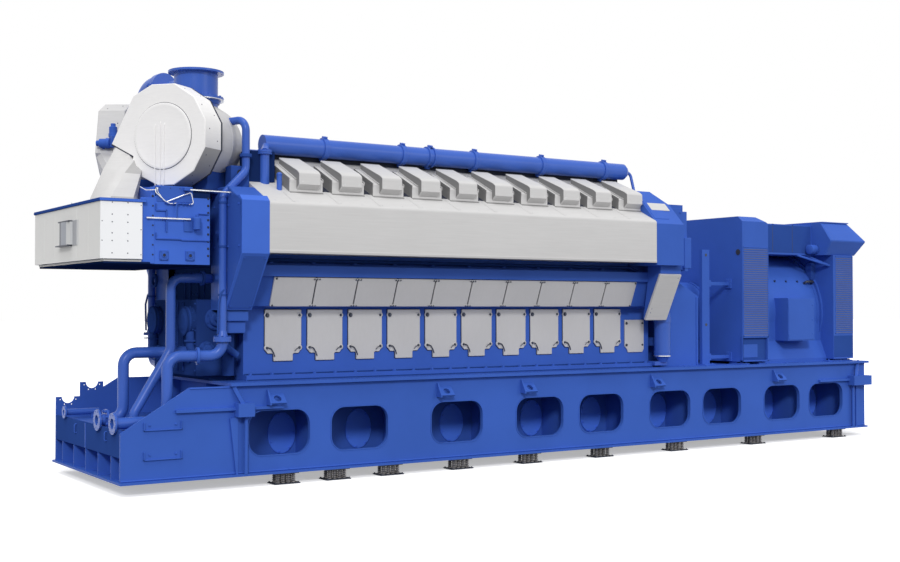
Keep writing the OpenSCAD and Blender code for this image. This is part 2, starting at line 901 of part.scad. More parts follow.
module turbo(side) {
    color(white) placed() on_side(side) {
        turbo_axis() {
            linear_extrude(front_drum_l) polygon([for (p = outline_of(side)) turbo_d / 2 * [-p.y, -p.x]]);
            translate([0, 0, front_drum_l]) cylinder(h = drum_neck, d = rear_drum_d - 60, $fn = 48);
            translate([0, 0, front_drum_l + drum_neck])
                cylinder(h = rear_drum_l, d1 = rear_drum_d, d2 = rear_drum_d - 90, $fn = 48);
        }
    }
    color(metal) placed() on_side(side)
        turbo_axis() translate([0, 0, -disc_t]) cylinder(h = disc_t, d = disc_d, $fn = 64);
}

module turbo_near() {
    turbo(near);
}

module turbo_far() {
    turbo(far);
}

saddle_s0 = 400;
saddle_s1 = 950;
saddle_half = 330;

module turbo_stand() {
    color(blue) placed() {
        block([cooler_x0, -900, cooler_z1], [engine_x0 - 32, 900, cooler_z1 + turbo_plate_t]);
        for (side = [near, far])
            on_side(side)
                difference() {
                    translate([turbo_x, turbo_y, 0]) rotate([0, 0, -turbo_yaw])
                        block([saddle_s0, -saddle_half, cooler_z1 + turbo_plate_t],
                              [saddle_s1, saddle_half, turbo_z - rear_drum_d * 0.34]);
                    turbo_axis() translate([0, 0, saddle_s0 - 40])
                        cylinder(h = rear_drum_l, d = rear_drum_d - 20, $fn = 48);
                    block([turbo_x - 900, -900, cooler_z1 - 10], [turbo_x + 900, 0, turbo_z]);
                }
    }
}

// A scroll duct leads from the near drum down to the white duct box, and
// from the far one down to the stand.
function drum_point(side, i, s) =
    let (p = outline_of(side)[i] * turbo_d / 2)
    [
        turbo_x - p.x * sin(turbo_yaw) + s * cos(turbo_yaw),
        turbo_y - p.x * cos(turbo_yaw) - s * sin(turbo_yaw),
        turbo_z + p.y,
    ];

near_foot = [duct_x0 + 60, duct_x1 - 20, 480, 1010, duct_z1 + duct_roof_t];
far_foot = [cooler_x0 + 30, cooler_x0 + 360, 110, 500, cooler_z1 + turbo_plate_t];

module scroll_duct(side, foot) {
    top = [for (s = [8, front_drum_l - 8]) each [drum_point(side, 3, s), drum_point(side, 2, s)]];
    corners = [for (x = [foot[0], foot[1]]) for (y = [foot[2], foot[3]]) [x, y, foot[4]]];
    hull()
        for (p = concat(top, corners)) translate(p) cube(2);
}

module scroll_ducts() {
    color(white) placed() {
        on_side(near) scroll_duct(near, near_foot);
        on_side(far) scroll_duct(far, far_foot);
    }
}

outlet_z0 = turbo_z + rear_drum_d / 2 - 90;
outlet_floor = 130;
outlet_low_flange = turbo_z + 505;

module exhaust_outlet() {
    color(blue) placed() on_side(near)
        translate([outlet_x, outlet_y, 0])
            difference() {
                union() {
                    translate([0, 0, outlet_z0]) cylinder(h = outlet_z - outlet_z0, d = outlet_d, $fn = 96);
                    for (z = [outlet_low_flange, outlet_z - 25])
                        translate([0, 0, z]) cylinder(h = 25, d = outlet_flange_d, $fn = 96);
                }
                translate([0, 0, outlet_z0 + outlet_floor])
                    cylinder(h = outlet_z - outlet_z0, d = outlet_d - 2 * outlet_wall, $fn = 96);
                for (i = [0 : outlet_bolts - 1])
                    rotate((i + 0.5) * 360 / outlet_bolts)
                        translate([outlet_pcd / 2, 0, outlet_z - 26])
                            cylinder(h = 30, d = outlet_hole_d, $fn = 24);
            }
}

// The far turbocharger's exhaust bends over to the outlet on the near side.
arch_d = 290;
arch_r = 260;
arch_z = deck_z + 3560;
arch_start = [outlet_x - 155, outlet_y + 85];
arch_share = 0.34;
joint_d = 330;
joint_l = 110;
link_d = 170;

function arch_at(share) = arch_start + share * ([outlet_x, -outlet_y] - arch_start);

module exhaust_cross_duct() {
    corner = [arch_start.x, arch_start.y, arch_z];
    joint = [arch_at(arch_share).x, arch_at(arch_share).y, arch_z];
    run = unit([outlet_x, -outlet_y, 0] - [arch_start.x, arch_start.y, 0]);
    link_drop = [0, 0, -50];
    link_end = [outlet_x, -outlet_y, arch_z] - (outlet_d / 2 - 5) * run;
    color(blue) placed() {
        pipe_run([[corner.x, corner.y, turbo_z + rear_drum_d / 2 - 60], corner, joint], arch_d, arch_r);
        straight_pipe(joint - joint_l / 2 * run, joint + joint_l / 2 * run, joint_d);
        straight_pipe(joint + joint_l / 4 * run + link_drop, link_end + link_drop, link_d);
        translate([corner.x, corner.y, turbo_z + rear_drum_d / 2])
            cylinder(h = 24, d = arch_d + 90, $fn = 64);
    }
}

// ---- Pipes ----

pipe_face_x = base_x0 - 30;
flange_t = 22;

module flange_at(x, y, z, d, pcd, hole_d, holes) {
    translate([x, y, z]) rotate([0, 90, 0])
        difference() {
            cylinder(h = flange_t, d = d, $fn = 64);
            for (i = [0 : holes - 1])
                rotate((i + 0.5) * 360 / holes) translate([pcd / 2, 0, -eps])
                    cylinder(h = flange_t + 2 * eps, d = hole_d, $fn = 24);
        }
}

module pipe_mouth(y, d) {
    translate([pipe_face_x - eps, y, low_pipe_z]) rotate([0, 90, 0])
        cylinder(h = 160, d = d - 12, $fn = 48);
}

pipe_bend = 150;

module feed_pipe() {
    x = base_x0 + 275;
    top = deck_z + 340;
    difference() {
        union() {
            pipe_run([[pipe_face_x, feed_y, low_pipe_z], [x, feed_y, low_pipe_z],
                      [x, feed_y, top], [pump_x0 + 20, feed_y, top]], pipe_d, pipe_bend);
            flange_at(pipe_face_x, feed_y, low_pipe_z, pipe_flange_d, pipe_pcd, pipe_hole_d, 8);
            translate([pipe_face_x + 95, feed_y, low_pipe_z]) rotate([0, 90, 0])
                cylinder(h = flange_t, d = pipe_flange_d, $fn = 64);
        }
        pipe_mouth(feed_y, pipe_d);
    }
}

return_top = deck_z + 500;

module return_pipe() {
    x = base_x0 + 593;
    difference() {
        union() {
            pipe_run([[pipe_face_x, return_y, low_pipe_z], [x, return_y, low_pipe_z],
                      [x, return_y, deck_z + 310], [-655, -1160, deck_z + 310],
                      [-655, -1160, return_top]], pipe_d, pipe_bend);
            flange_at(pipe_face_x, return_y, low_pipe_z, pipe_flange_d, pipe_pcd, pipe_hole_d, 8);
        }
        pipe_mouth(return_y, pipe_d);
    }
    translate([-655, -1160, return_top - 30]) cylinder(h = 30, d = pipe_d + 75, $fn = 48);
}

module drain_pipe() {
    difference() {
        union() {
            straight_pipe([pipe_face_x, drain_y, low_pipe_z], [base_x0 + 400, drain_y, low_pipe_z], drain_d);
            flange_at(pipe_face_x, drain_y, low_pipe_z, drain_flange_d, 116, 14, 4);
        }
        pipe_mouth(drain_y, drain_d);
    }
    block([base_x0 + 300, drain_y - 25, tank_top], [base_x0 + 340, drain_y + 25, low_pipe_z]);
}

module slant_pipe() {
    pipe_run([[-1550, -784, tank_top], [-1550, -784, deck_z - 330],
              [-1127, -784, deck_z + 372], [-1127, -784, deck_z + 1196],
              [-620, -784, deck_z + 1196], [-620, -600, deck_z + 1196]], 110, 130);
}

module water_pipes() {
    color(blue) placed() {
        feed_pipe();
        return_pipe();
        drain_pipe();
        slant_pipe();
    }
}

// A riser on each side vents the crankcase past the turbocharger stand.
vent_x = -655;
vent_y = 1160;

module vent_riser() {
    pipe_run([[vent_x, vent_y, return_top], [vent_x, vent_y, deck_z + 2140],
              [-330, 1060, deck_z + 2440], [-330, 1060, deck_z + 3040],
              [-450, 720, deck_z + 3040]], vent_d, 130);
    translate([vent_x, vent_y, return_top]) cylinder(h = 24, d = pipe_d + 75, $fn = 48);
    translate([vent_x, vent_y, return_top + 24])
        cylinder(h = 70, d1 = pipe_d, d2 = vent_d, $fn = 48);
    for (z = [deck_z + 1180, deck_z + 1700])
        block([vent_x - 20, 1000, z], [vent_x + 20, vent_y, z + 40]);
}

module vent_pipes() {
    color(blue) placed() {
        for (side = [near, far])
            on_side(side) vent_riser();
        on_side(far)
            pipe_run([[-655, 1160, return_top], [-655, 1160, deck_z + 150], [-655, 700, deck_z + 150]],
                     vent_d, 130);
    }
}

// ---- Generator ----

guard_d = 960;
guard_post = 60;
guard_post_w = 150;

module coupling_guard() {
    color(blue) placed() {
        translate([fly_x1 - 40, 0, shaft_z]) rotate([0, 90, 0])
            cylinder(h = drive_box_x - fly_x1 + 60, d = guard_d, $fn = 64);
        for (side = [near, far])
            on_side(side) {
                block([fly_x1 + 30, 880, deck_z],
                      [fly_x1 + 30 + guard_post_w, 880 + guard_post, deck_z + 1720]);
                for (z = [deck_z + 90, deck_z + 1190])
                    block([fly_x1 + 30, 880, z], [drive_box_x + 20, 880 + guard_post - 15, z + 50]);
            }
    }
}

bell_l = 320;
stator_foot_half = 1040;
stator_foot_h = 330;

module generator_stator() {
    color(blue) placed() {
        translate([stator_x0 - 20, 0, shaft_z]) rotate([0, 90, 0])
            cylinder(h = stator_l + 20, d = stator_d, $fn = 96);
        translate([stator_x1 - 40, 0, shaft_z]) rotate([0, 90, 0])
            cylinder(h = 40, d = stator_d + 80, $fn = 96);
        translate([stator_x1, 0, shaft_z]) rotate([0, 90, 0])
            cylinder(h = bell_l, d1 = stator_d - 280, d2 = stator_d - 560, $fn = 96);
        for (side = [near, far])
            on_side(side)
                along_x(stator_x0, stator_l)
                    polygon([
                        [pit_half + 40, deck_z], [stator_foot_half, deck_z],
                        [stator_foot_half, deck_z + 60], [stator_d / 2 - 10, deck_z + stator_foot_h],
                        [stator_d / 2 - 10, shaft_z - 60], [pit_half + 40, shaft_z - 60],
                    ]);
    }
}

box_chamfer_y = 90;
box_chamfer_z = 75;
box_top_x = 178;

module generator_drive_box() {
    z0 = deck_z + gen_foot;
    color(blue) placed()
        difference() {
            along_x(drive_box_x, stator_x0 - drive_box_x)
                polygon([
                    [-box_half, z0], [-box_half, box_top - box_chamfer_z],
                    [-box_half + box_chamfer_y, box_top], [box_half - box_chamfer_y, box_top],
                    [box_half, box_top - box_chamfer_z], [box_half, z0],
                ]);
            across_y(-box_half - eps, 2 * box_half + 2 * eps)
                polygon([
                    [stator_x0 - box_top_x, box_top + eps], [stator_x0 + eps, box_top - 100],
                    [stator_x0 + eps, box_top + eps],
                ]);
            for (side = [near, far])
                on_side(side)
                    block([drive_box_x + 17, box_half - 50, z0 - eps],
                          [stator_x0 + eps, box_half + eps, deck_z + 400]);
        }
    color(black) placed()
        for (x = [drive_box_x + 90, stator_x0 - 90], side = [near, far])
            on_side(side) block([x - 70, 900, deck_z], [x + 70, 1040, z0]);
}

rear_box_in = 818;
rear_box_top = deck_z + 1690;

module generator_rear_boxes() {
    color(blue) placed()
        for (side = [near, far])
            on_side(side) {
                block([rear_box_x, rear_box_in, deck_z + gen_foot],
                      [rear_box_x + rear_box_l, box_half, rear_box_top]);
                block([rear_box_x + 60, rear_box_in + 60, deck_z],
                      [rear_box_x + rear_box_l - 60, box_half - 60, deck_z + gen_foot]);
                block([rear_box_x, 560, deck_z + 180],
                      [rear_box_x + rear_box_l - 120, rear_box_in, deck_z + 1500]);
            }
}

roof_x0 = drive_x + 3930;
roof_lip_z = deck_z + 1910;
roof_top_z = box_top - 25;
roof_half = 1284;
roof_corner = 20;

module roof_plan(inset) {
    half = roof_half - inset;
    polygon([
        [roof_x0, -half + roof_corner], [roof_x0 + roof_corner, -half],
        [roof_x1 - inset, -half], [roof_x1 - inset, half],
        [roof_x0 + roof_corner, half], [roof_x0, half - roof_corner],
    ]);
}

lid_t = 14;
throat_half = 810;
throat_z0 = deck_z + 1240;

module generator_roof() {
    color(blue) placed() {
        hull() {
            translate([0, 0, roof_lip_z - 10]) linear_extrude(10) roof_plan(0);
            translate([0, 0, rear_box_top]) linear_extrude(10) roof_plan(120);
        }
        hull() {
            translate([0, 0, roof_lip_z - 10]) linear_extrude(20) roof_plan(0);
            translate([0, 0, roof_top_z - 10]) linear_extrude(10) roof_plan(200);
        }
        translate([0, 0, roof_top_z]) linear_extrude(lid_t) roof_plan(180);
        block([stator_x0 - 5, -box_half + 300, shaft_z + stator_d / 2 - 20],
              [roof_x0 + 40, box_half - 300, roof_top_z - 40]);
        // The throat that leads the air from the end shield up to the roof.
        difference() {
            block([stator_x1, -throat_half, throat_z0],
                  [rear_box_x + rear_box_l - 40, throat_half, roof_lip_z]);
            translate([stator_x1 - eps, 0, shaft_z]) rotate([0, 90, 0])
                cylinder(h = bell_l + 200, d = stator_d - 280, $fn = 96);
        }
    }
}

module generator_air_boxes() {
    generator_drive_box();
    generator_rear_boxes();
}

module terminal_boxes() {
    color(blue) placed()
        for (side = [near, far])
            on_side(side) {
                block([drive_x + 3040, 760, deck_z + 343], [drive_x + 3635, 1190, deck_z + 1002]);
                block([drive_x + 3080, 700, deck_z + 420], [drive_x + 3595, 780, deck_z + 960]);
            }
}

base_side_near();
base_side_far();
base_deck();
base_bottom_flange();
base_cross_webs();
base_end_plate();
base_tank();
pipe_end_plate();
lifting_lugs_near();
lifting_lugs_far();
spring_pads_near();
spring_pads_far();
oil_sump();
crankcase();
crankcase_covers_near();
crankcase_covers_far();
camshaft_covers_near();
camshaft_covers_far();
hot_box_near();
hot_box_far();
rocker_hoods_near();
rocker_hoods_far();
exhaust_box();
gas_pipes();
free_end_covers();
drive_end_covers();
gear_housing();
flywheel_housing();
oil_filters();
pump_case();
turbo_near();
turbo_far();
turbo_stand();
scroll_ducts();
exhaust_outlet();
exhaust_cross_duct();
air_duct_box();
charge_cooler();
water_pipes();
vent_pipes();
coupling_guard();
generator_stator();
generator_air_boxes();
generator_roof();
terminal_boxes();
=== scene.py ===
"""Looks of a gas generator set: pieces, finishes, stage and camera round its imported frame."""

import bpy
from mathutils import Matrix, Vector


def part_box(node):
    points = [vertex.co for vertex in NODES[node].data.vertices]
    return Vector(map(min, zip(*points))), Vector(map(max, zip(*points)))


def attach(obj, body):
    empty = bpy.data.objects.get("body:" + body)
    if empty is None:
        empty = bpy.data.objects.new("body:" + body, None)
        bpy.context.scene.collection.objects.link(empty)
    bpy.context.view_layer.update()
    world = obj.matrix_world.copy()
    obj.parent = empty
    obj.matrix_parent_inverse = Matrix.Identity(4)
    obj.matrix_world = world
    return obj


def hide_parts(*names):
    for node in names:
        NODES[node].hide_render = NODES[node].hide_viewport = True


bl_info = {
    "name": "Gas Generator Set",
    "version": (1, 0, 0),
    "blender": (4, 5, 0),
    "location": "3D View > Sidebar > Generator Set",
    "description": "Builds the visible pieces and finishes of a gas generator set",
    "category": "Object",
}

import math

import bpy
import numpy as np
from mathutils import Vector

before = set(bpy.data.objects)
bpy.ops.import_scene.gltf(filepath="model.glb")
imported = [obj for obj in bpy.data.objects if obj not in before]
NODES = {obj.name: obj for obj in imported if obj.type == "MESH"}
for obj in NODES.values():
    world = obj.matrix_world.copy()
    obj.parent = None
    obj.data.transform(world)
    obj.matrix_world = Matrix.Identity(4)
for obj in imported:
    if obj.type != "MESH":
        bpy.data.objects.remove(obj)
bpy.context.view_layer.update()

# Pieces are drawn in metres from the edge of the first cylinder and the top of the deck,
# on the +Y side, and then moved to the frame and mirrored to the side that they belong to.
COVERS_LOW, COVERS_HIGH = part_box("camshaft_covers_near")
CYLINDERS = 10
COVER_START = -0.016
COVER_GAP = 0.008
PITCH = (COVERS_HIGH.x - COVERS_LOW.x + COVER_GAP) / CYLINDERS
START = Vector((COVERS_LOW.x - COVER_START, 0.0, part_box("base_deck")[1].z))
FLOOR = -START.z
BANK = CYLINDERS * PITCH

UP = np.array([0.0, 0.0, 1.0])
RIGHT = np.array([1.0, 0.0, 0.0])
OUT = np.array([0.0, 1.0, 0.0])


# ---- Shapes ----


def unit(v):
    """A vector, or each of many, divided by its length."""
    v = np.asarray(v, float)
    return v / np.linalg.norm(v, axis=-1, keepdims=True)


def basis(axis):
    """Two unit vectors square to an axis and to each other."""
    axis = unit(axis)
    side = unit(np.cross(axis, RIGHT if abs(axis[0]) < 0.8 else OUT))
    return side, np.cross(axis, side)


def fan_volume(points, faces):
    """Signed volume under the faces: a sixth of each fan triangle's triple product."""
    p = points[faces] - points.mean(0)
    return np.einsum("kni,kni->", p[:, :1] + 0 * p[:, 1:-1], np.cross(p[:, 1:-1], p[:, 2:])) / 6


class Shape:
    """Points and faces of many small closed bodies, each with its own paint number."""

    def __init__(self):
        self.points, self.faces, self.paints = [], [], []
        self.count, self.paint = 0, 0

    def add(self, points, *faces):
        """Takes one closed body and turns its faces outwards, by the sign of its volume."""
        points = np.asarray(points, float)
        outward = sum(fan_volume(points, f) for f in faces) > 0
        for f in faces:
            self.faces.append((f if outward else f[:, ::-1]) + self.count)
            self.paints.append(np.full(len(f), self.paint))
        self.points.append(points)
        self.count += len(points)

    def stamp(self, body, places, frames):
        """Copies of a body: its points times a frame of three unit vectors, plus each place."""
        points = np.concatenate(body.points)
        places = np.asarray(places, float).reshape(-1, 3)
        frames = np.broadcast_to(frames, (len(places), 3, 3))
        moved = places[:, None] + np.einsum("ni,kij->knj", points, frames)
        shift = self.count + len(points) * np.arange(len(places))[:, None, None]
        for f, paints in zip(body.faces, body.paints):
            self.faces.append((f + shift).reshape(-1, f.shape[1]))
            self.paints.append(np.tile(paints + self.paint, len(places)))
        self.points.append(moved.reshape(-1, 3))
        self.count += len(places) * len(points)

    def paint_facing(self, direction, paint, share=0.8):
        """Another paint for each face whose normal leans towards a direction."""
        points = np.concatenate(self.points)
        for f, paints in zip(self.faces, self.paints):
            a, b, c = (points[f[:, k]] for k in range(3))
            normal = np.cross(b - a, c - b)
            paints[normal @ direction > share * np.linalg.norm(normal, axis=1)] = paint

    def mirrored(self):
        """The same bodies on the other side: Y changes sign and each face turns round."""
        other = Shape()
        other.points = [p * [1, -1, 1] for p in self.points]
        other.faces = [f[:, ::-1] for f in self.faces]
        other.paints, other.count = self.paints, self.count
        return other


def quads(rows, cols, close_rows=False):
    """Faces between neighbours of a rows x cols grid that closes round its columns."""
    last = rows if close_rows else rows - 1
    i, j = (a.ravel() for a in np.meshgrid(np.arange(last), np.arange(cols), indexing="ij"))
    i2, j2 = (i + 1) % rows, (j + 1) % cols
    return np.stack([i * cols + j, i * cols + j2, i2 * cols + j2, i2 * cols + j], 1)


def loft(shape, rings):
    """Closed body through rings of equal length, with a flat face at each end."""
    rings = np.asarray(rings, float)
    rows, cols = rings.shape[:2]
    ring = np.arange(cols)[None]
    shape.add(rings.reshape(-1, 3), quads(rows, cols), ring[:, ::-1], ring + (rows - 1) * cols)


def inset(outline, by):
    """Outline moved in: corners go along their edge normals' sum over one plus their dot."""
    outline = np.asarray(outline, float)
    after = np.roll(outline, -1, 0)
    turn = np.sign((outline[:, 0] * after[:, 1] - outline[:, 1] * after[:, 0]).sum())
    edge = unit(after - outline)
    normal = turn * np.stack([-edge[:, 1], edge[:, 0]], 1)
    before = np.roll(normal, 1, 0)
    return outline + by * (normal + before) / (1 + (normal * before).sum(1))[:, None]


def plate(shape, outline, origin, across, up, thick, bevel=0.004, both=False):
    """Plate of a flat outline: its walls go along across x up, with a narrow slope at the end."""
    across, up = unit(across), unit(up)
    normal = np.cross(across, up)
    steps = [(0, 0), (thick - bevel, 0), (thick, bevel)]
    if both:
        steps = [(0, bevel), (bevel, 0)] + steps[1:]
    rings = []
    for height, by in steps:
        flat = inset(outline, by) if by else np.asarray(outline, float)
        rings.append(origin + flat[:, :1] * across + flat[:, 1:] * up + height * normal)
    loft(shape, rings)


def rectangle(a0, b0, a1, b1, cut=0.0):
    """Corners of a rectangle, anticlockwise, each cut off when asked."""
    if not cut:
        return [(a0, b0), (a1, b0), (a1, b1), (a0, b1)]
    return [
        (a0 + cut, b0), (a1 - cut, b0), (a1, b0 + cut), (a1, b1 - cut),
        (a1 - cut, b1), (a0 + cut, b1), (a0, b1 - cut), (a0, b0 + cut),
    ]


def block(shape, low, high, bevel=0.004):
    """Block between two corners with all its edges sloped."""
    low, high = np.asarray(low, float), np.asarray(high, float)
    outline = rectangle(low[0], low[1], high[0], high[1], bevel)
    origin = np.array([0, 0, low[2]])
    plate(shape, outline, origin, RIGHT, OUT, high[2] - low[2], bevel, both=True)


def turned(shape, profile, origin, axis, sides=32):
    """Profile of (along, radius) pairs turned round an axis; a radius of nought is one pole."""
    profile, origin, axis = np.asarray(profile, float), np.asarray(origin, float), unit(axis)
    u, v = basis(axis)
    turn = 2 * np.pi * np.arange(sides) / sides
    ring = np.cos(turn)[:, None] * u + np.sin(turn)[:, None] * v
    body = profile[profile[:, 1] > 0]
    points = (origin + body[:, :1] * axis)[:, None] + body[:, 1][:, None, None] * ring
    rows = len(body)
    points, faces = points.reshape(-1, 3), [quads(rows, sides)]
    first = np.arange(sides)
    for end, along, base in ((0, profile[0], 0), (1, profile[-1], (rows - 1) * sides)):
        loop = first[None] + base
        if along[1] > 0:
            faces.append(loop if end else loop[:, ::-1])
            continue
        pole = len(points)
        points = np.vstack([points, origin + along[0] * axis])
        fan = np.stack([loop[0], np.roll(loop[0], -1), np.full(sides, pole)], 1)
        faces.append(fan if end else fan[:, ::-1])
    shape.add(points, *faces)


def ring_of(shape, section, origin, axis, sides=48):
    """Closed section of (along, radius) pairs turned round an axis into a ring."""
    section, axis = np.asarray(section, float), unit(axis)
    u, v = basis(axis)
    turn = 2 * np.pi * np.arange(sides) / sides
    ring = np.cos(turn)[:, None] * u + np.sin(turn)[:, None] * v
    points = (origin + section[:, :1] * axis)[:, None] + section[:, 1][:, None, None] * ring
    shape.add(points.reshape(-1, 3), quads(len(section), sides, close_rows=True))


def bent(corners, bend, steps=8):
    """Line with round corners: each corner becomes an arc that touches both of its runs."""
    corners = np.asarray(corners, float)
    line = [corners[:1]]
    for a, b, c in zip(corners, corners[1:], corners[2:]):
        u, w = unit(b - a), unit(c - b)
        angle = math.acos(float(np.clip(u @ w, -1, 1)))
        inward = unit(w - u * (u @ w))
        start = b - u * bend * math.tan(angle / 2)
        phi = np.linspace(0, angle, steps)[:, None]
        line.append(start + inward * bend + bend * (u * np.sin(phi) - inward * np.cos(phi)))
    return np.concatenate(line + [corners[-1:]])


def pipe(shape, path, radius, sides=12):
    """Round pipe: circles square to the path, turned to the path's flattest direction."""
    path = np.asarray(path, float)
    run = unit(np.gradient(path, axis=0))
    flat = np.linalg.svd(path - path.mean(0))[2][-1]
    side = unit(np.cross(run, flat))
    lift = np.cross(run, side)
    turn = 2 * np.pi * np.arange(sides) / sides
    radius = np.broadcast_to(radius, len(path))[:, None, None]
    ring = np.cos(turn)[:, None] * side[:, None] + np.sin(turn)[:, None] * lift[:, None]
    loft(shape, path[:, None] + radius * ring)


def straight(shape, a, b, radius, sides=16):
    """Round bar between two points, with its edges sloped."""
    a, b = np.asarray(a, float), np.asarray(b, float)
    long, cut = np.linalg.norm(b - a), min(0.004, radius / 3)
    profile = [(0, radius - cut), (cut, radius), (long - cut, radius), (long, radius - cut)]
    turned(shape, profile, a, b - a, sides)


def blocks(shape, bevel, *corners):
    """Blocks with the same bevel, each between a low and a high corner."""
    for low, high in corners:
        block(shape, low, high, bevel)


def panel(shape, flat, origin, up, thick, bevel):
    """Plate on a wall that faces out of +Y: its outline is given along X and up the wall."""
    plate(shape, [(-a, b) for a, b in flat][::-1], origin, -RIGHT, up, thick, bevel)


def button(shape, radius, high, origin, axis, sides):
    """Round disc: a circle carried along its axis, with a flat end."""
    turned(shape, [(0, radius), (high, radius), (high, 0)], origin, axis, sides)


def hoop(shape, start, end, inner, outer, origin, axis, sides):
    """Square-edged ring between two distances along an axis and two radii."""
    section = [(start, inner), (end, inner), (end, outer), (start, outer)]
    ring_of(shape, section, origin, axis, sides)


def beam(shape, outline, start, long, bevel):
    """Outline in Y and Z carried along X, with sloped edges at both ends."""
    plate(shape, outline, (start, 0, 0), OUT, UP, long, bevel, both=True)


def frame_of(normal):
    """Rows that take a body drawn along Z to a given direction."""
    u, v = basis(normal)
    return np.array([u, v, unit(normal)])


def bolt_heads(shape, places, normal, across=0.03):
    """Hex heads on round washers, stamped at each place."""
    head, radius = Shape(), across / math.sqrt(3)
    turned(head, [(0, across * 0.8), (across * 0.12, across * 0.8)], np.zeros(3), UP, 12)
    turned(
        head,
        [(0.1 * across, radius), (0.6 * across, radius), (0.7 * across, radius * 0.85)],
        np.zeros(3), UP, 6,
    )
    shape.stamp(head, places, frame_of(normal))


def rivets(shape, places, normal, radius):
    """Low round heads, stamped at each place."""
    head = Shape()
    profile = [(0, radius), (radius * 0.35, radius * 0.8), (radius * 0.55, 0)]
    turned(head, profile, np.zeros(3), UP, 8)
    shape.stamp(head, places, frame_of(normal))


def circle_places(centre, axis, radius, number):
    """Places evenly round a circle, the first one half a step on."""
    u, v = basis(axis)
    turn = 2 * np.pi * (np.arange(number) + 0.5) / number
    return centre + radius * (np.cos(turn)[:, None] * u + np.sin(turn)[:, None] * v)


def bolt_circle(shape, centre, axis, radius, number, across):
    """Bolt heads evenly round a circle, facing along its axis."""
    bolt_heads(shape, circle_places(centre, axis, radius, number), axis, across)


# ---- Finishes ----


class FinishColours(bpy.types.PropertyGroup):
    """Colours of the finishes, as linear values."""

    enamel: bpy.props.FloatVectorProperty(
        name="Enamel", description="Blue paint of the engine, the generator and the base",
        subtype="COLOR", default=(0.045, 0.119, 0.49), min=0.0, max=1.0,
    )
    casing: bpy.props.FloatVectorProperty(
        name="Casing", description="Light grey sheet of the hot boxes and rocker hoods",
        subtype="COLOR", default=(0.57, 0.565, 0.565), min=0.0, max=1.0,
    )
    turbine: bpy.props.FloatVectorProperty(
        name="Turbocharger casing", description="Pale sheet round the near turbocharger",
        subtype="COLOR", default=(0.88, 0.87, 0.87), min=0.0, max=1.0,
    )
    cover: bpy.props.FloatVectorProperty(
        name="Covers", description="Light metal of the crankcase doors and camshaft covers",
        subtype="COLOR", default=(0.46, 0.455, 0.465), min=0.0, max=1.0,
    )
    duct: bpy.props.FloatVectorProperty(
        name="Air duct", description="White paint of the air duct box",
        subtype="COLOR", default=(0.9, 0.9, 0.89), min=0.0, max=1.0,
    )
    louver: bpy.props.FloatVectorProperty(
        name="Louvers", description="Slate paint of the louver blades",
        subtype="COLOR", default=(0.066, 0.08, 0.165), min=0.0, max=1.0,
    )


class StageSizes(bpy.types.PropertyGroup):
    """Where the camera stands and how strongly the stage is lit."""

    camera: bpy.props.FloatVectorProperty(
        name="Camera", description="Place of the camera",
        subtype="TRANSLATION", unit="LENGTH", default=(-10.3905, -14.479, 2.05),
    )
    heading: bpy.props.FloatProperty(
        name="Heading", description="Direction of view from +X, seen from above",
        subtype="ANGLE", default=math.radians(56.8275),
    )
    pitch: bpy.props.FloatProperty(
        name="Pitch", description="Direction of view above the horizon",
        subtype="ANGLE", default=math.radians(1.202),
    )
    lens: bpy.props.FloatProperty(
        name="Lens", description="Focal length of the camera, in millimetres", default=50.03,
    )
    key: bpy.props.FloatProperty(name="Key", description="Strength of the key lamp", default=1.32)
    side: bpy.props.FloatProperty(
        name="Side", description="Strength of the side lamp", default=0.36,
    )
    top: bpy.props.FloatProperty(name="Top", description="Strength of the top lamp", default=1.03)
    sky: bpy.props.FloatProperty(
        name="Sky", description="Strength of the even light", default=0.63,
    )


def nodes_of(name):
    """A new material's node tree, its shader and a maker of linked nodes."""
    material = bpy.data.materials.new(name)
    material.use_nodes = True
    tree = material.node_tree
    shader = tree.nodes["Principled BSDF"]

    def make(kind, inputs=(), **values):
        node = tree.nodes.new(kind)
        for key, value in values.items():
            setattr(node, key, value)
        for key, value in dict(inputs).items():
            if isinstance(value, bpy.types.NodeSocket):
                tree.links.new(value, node.inputs[key])
            else:
                node.inputs[key].default_value = value
        return node

    return tree, shader, make


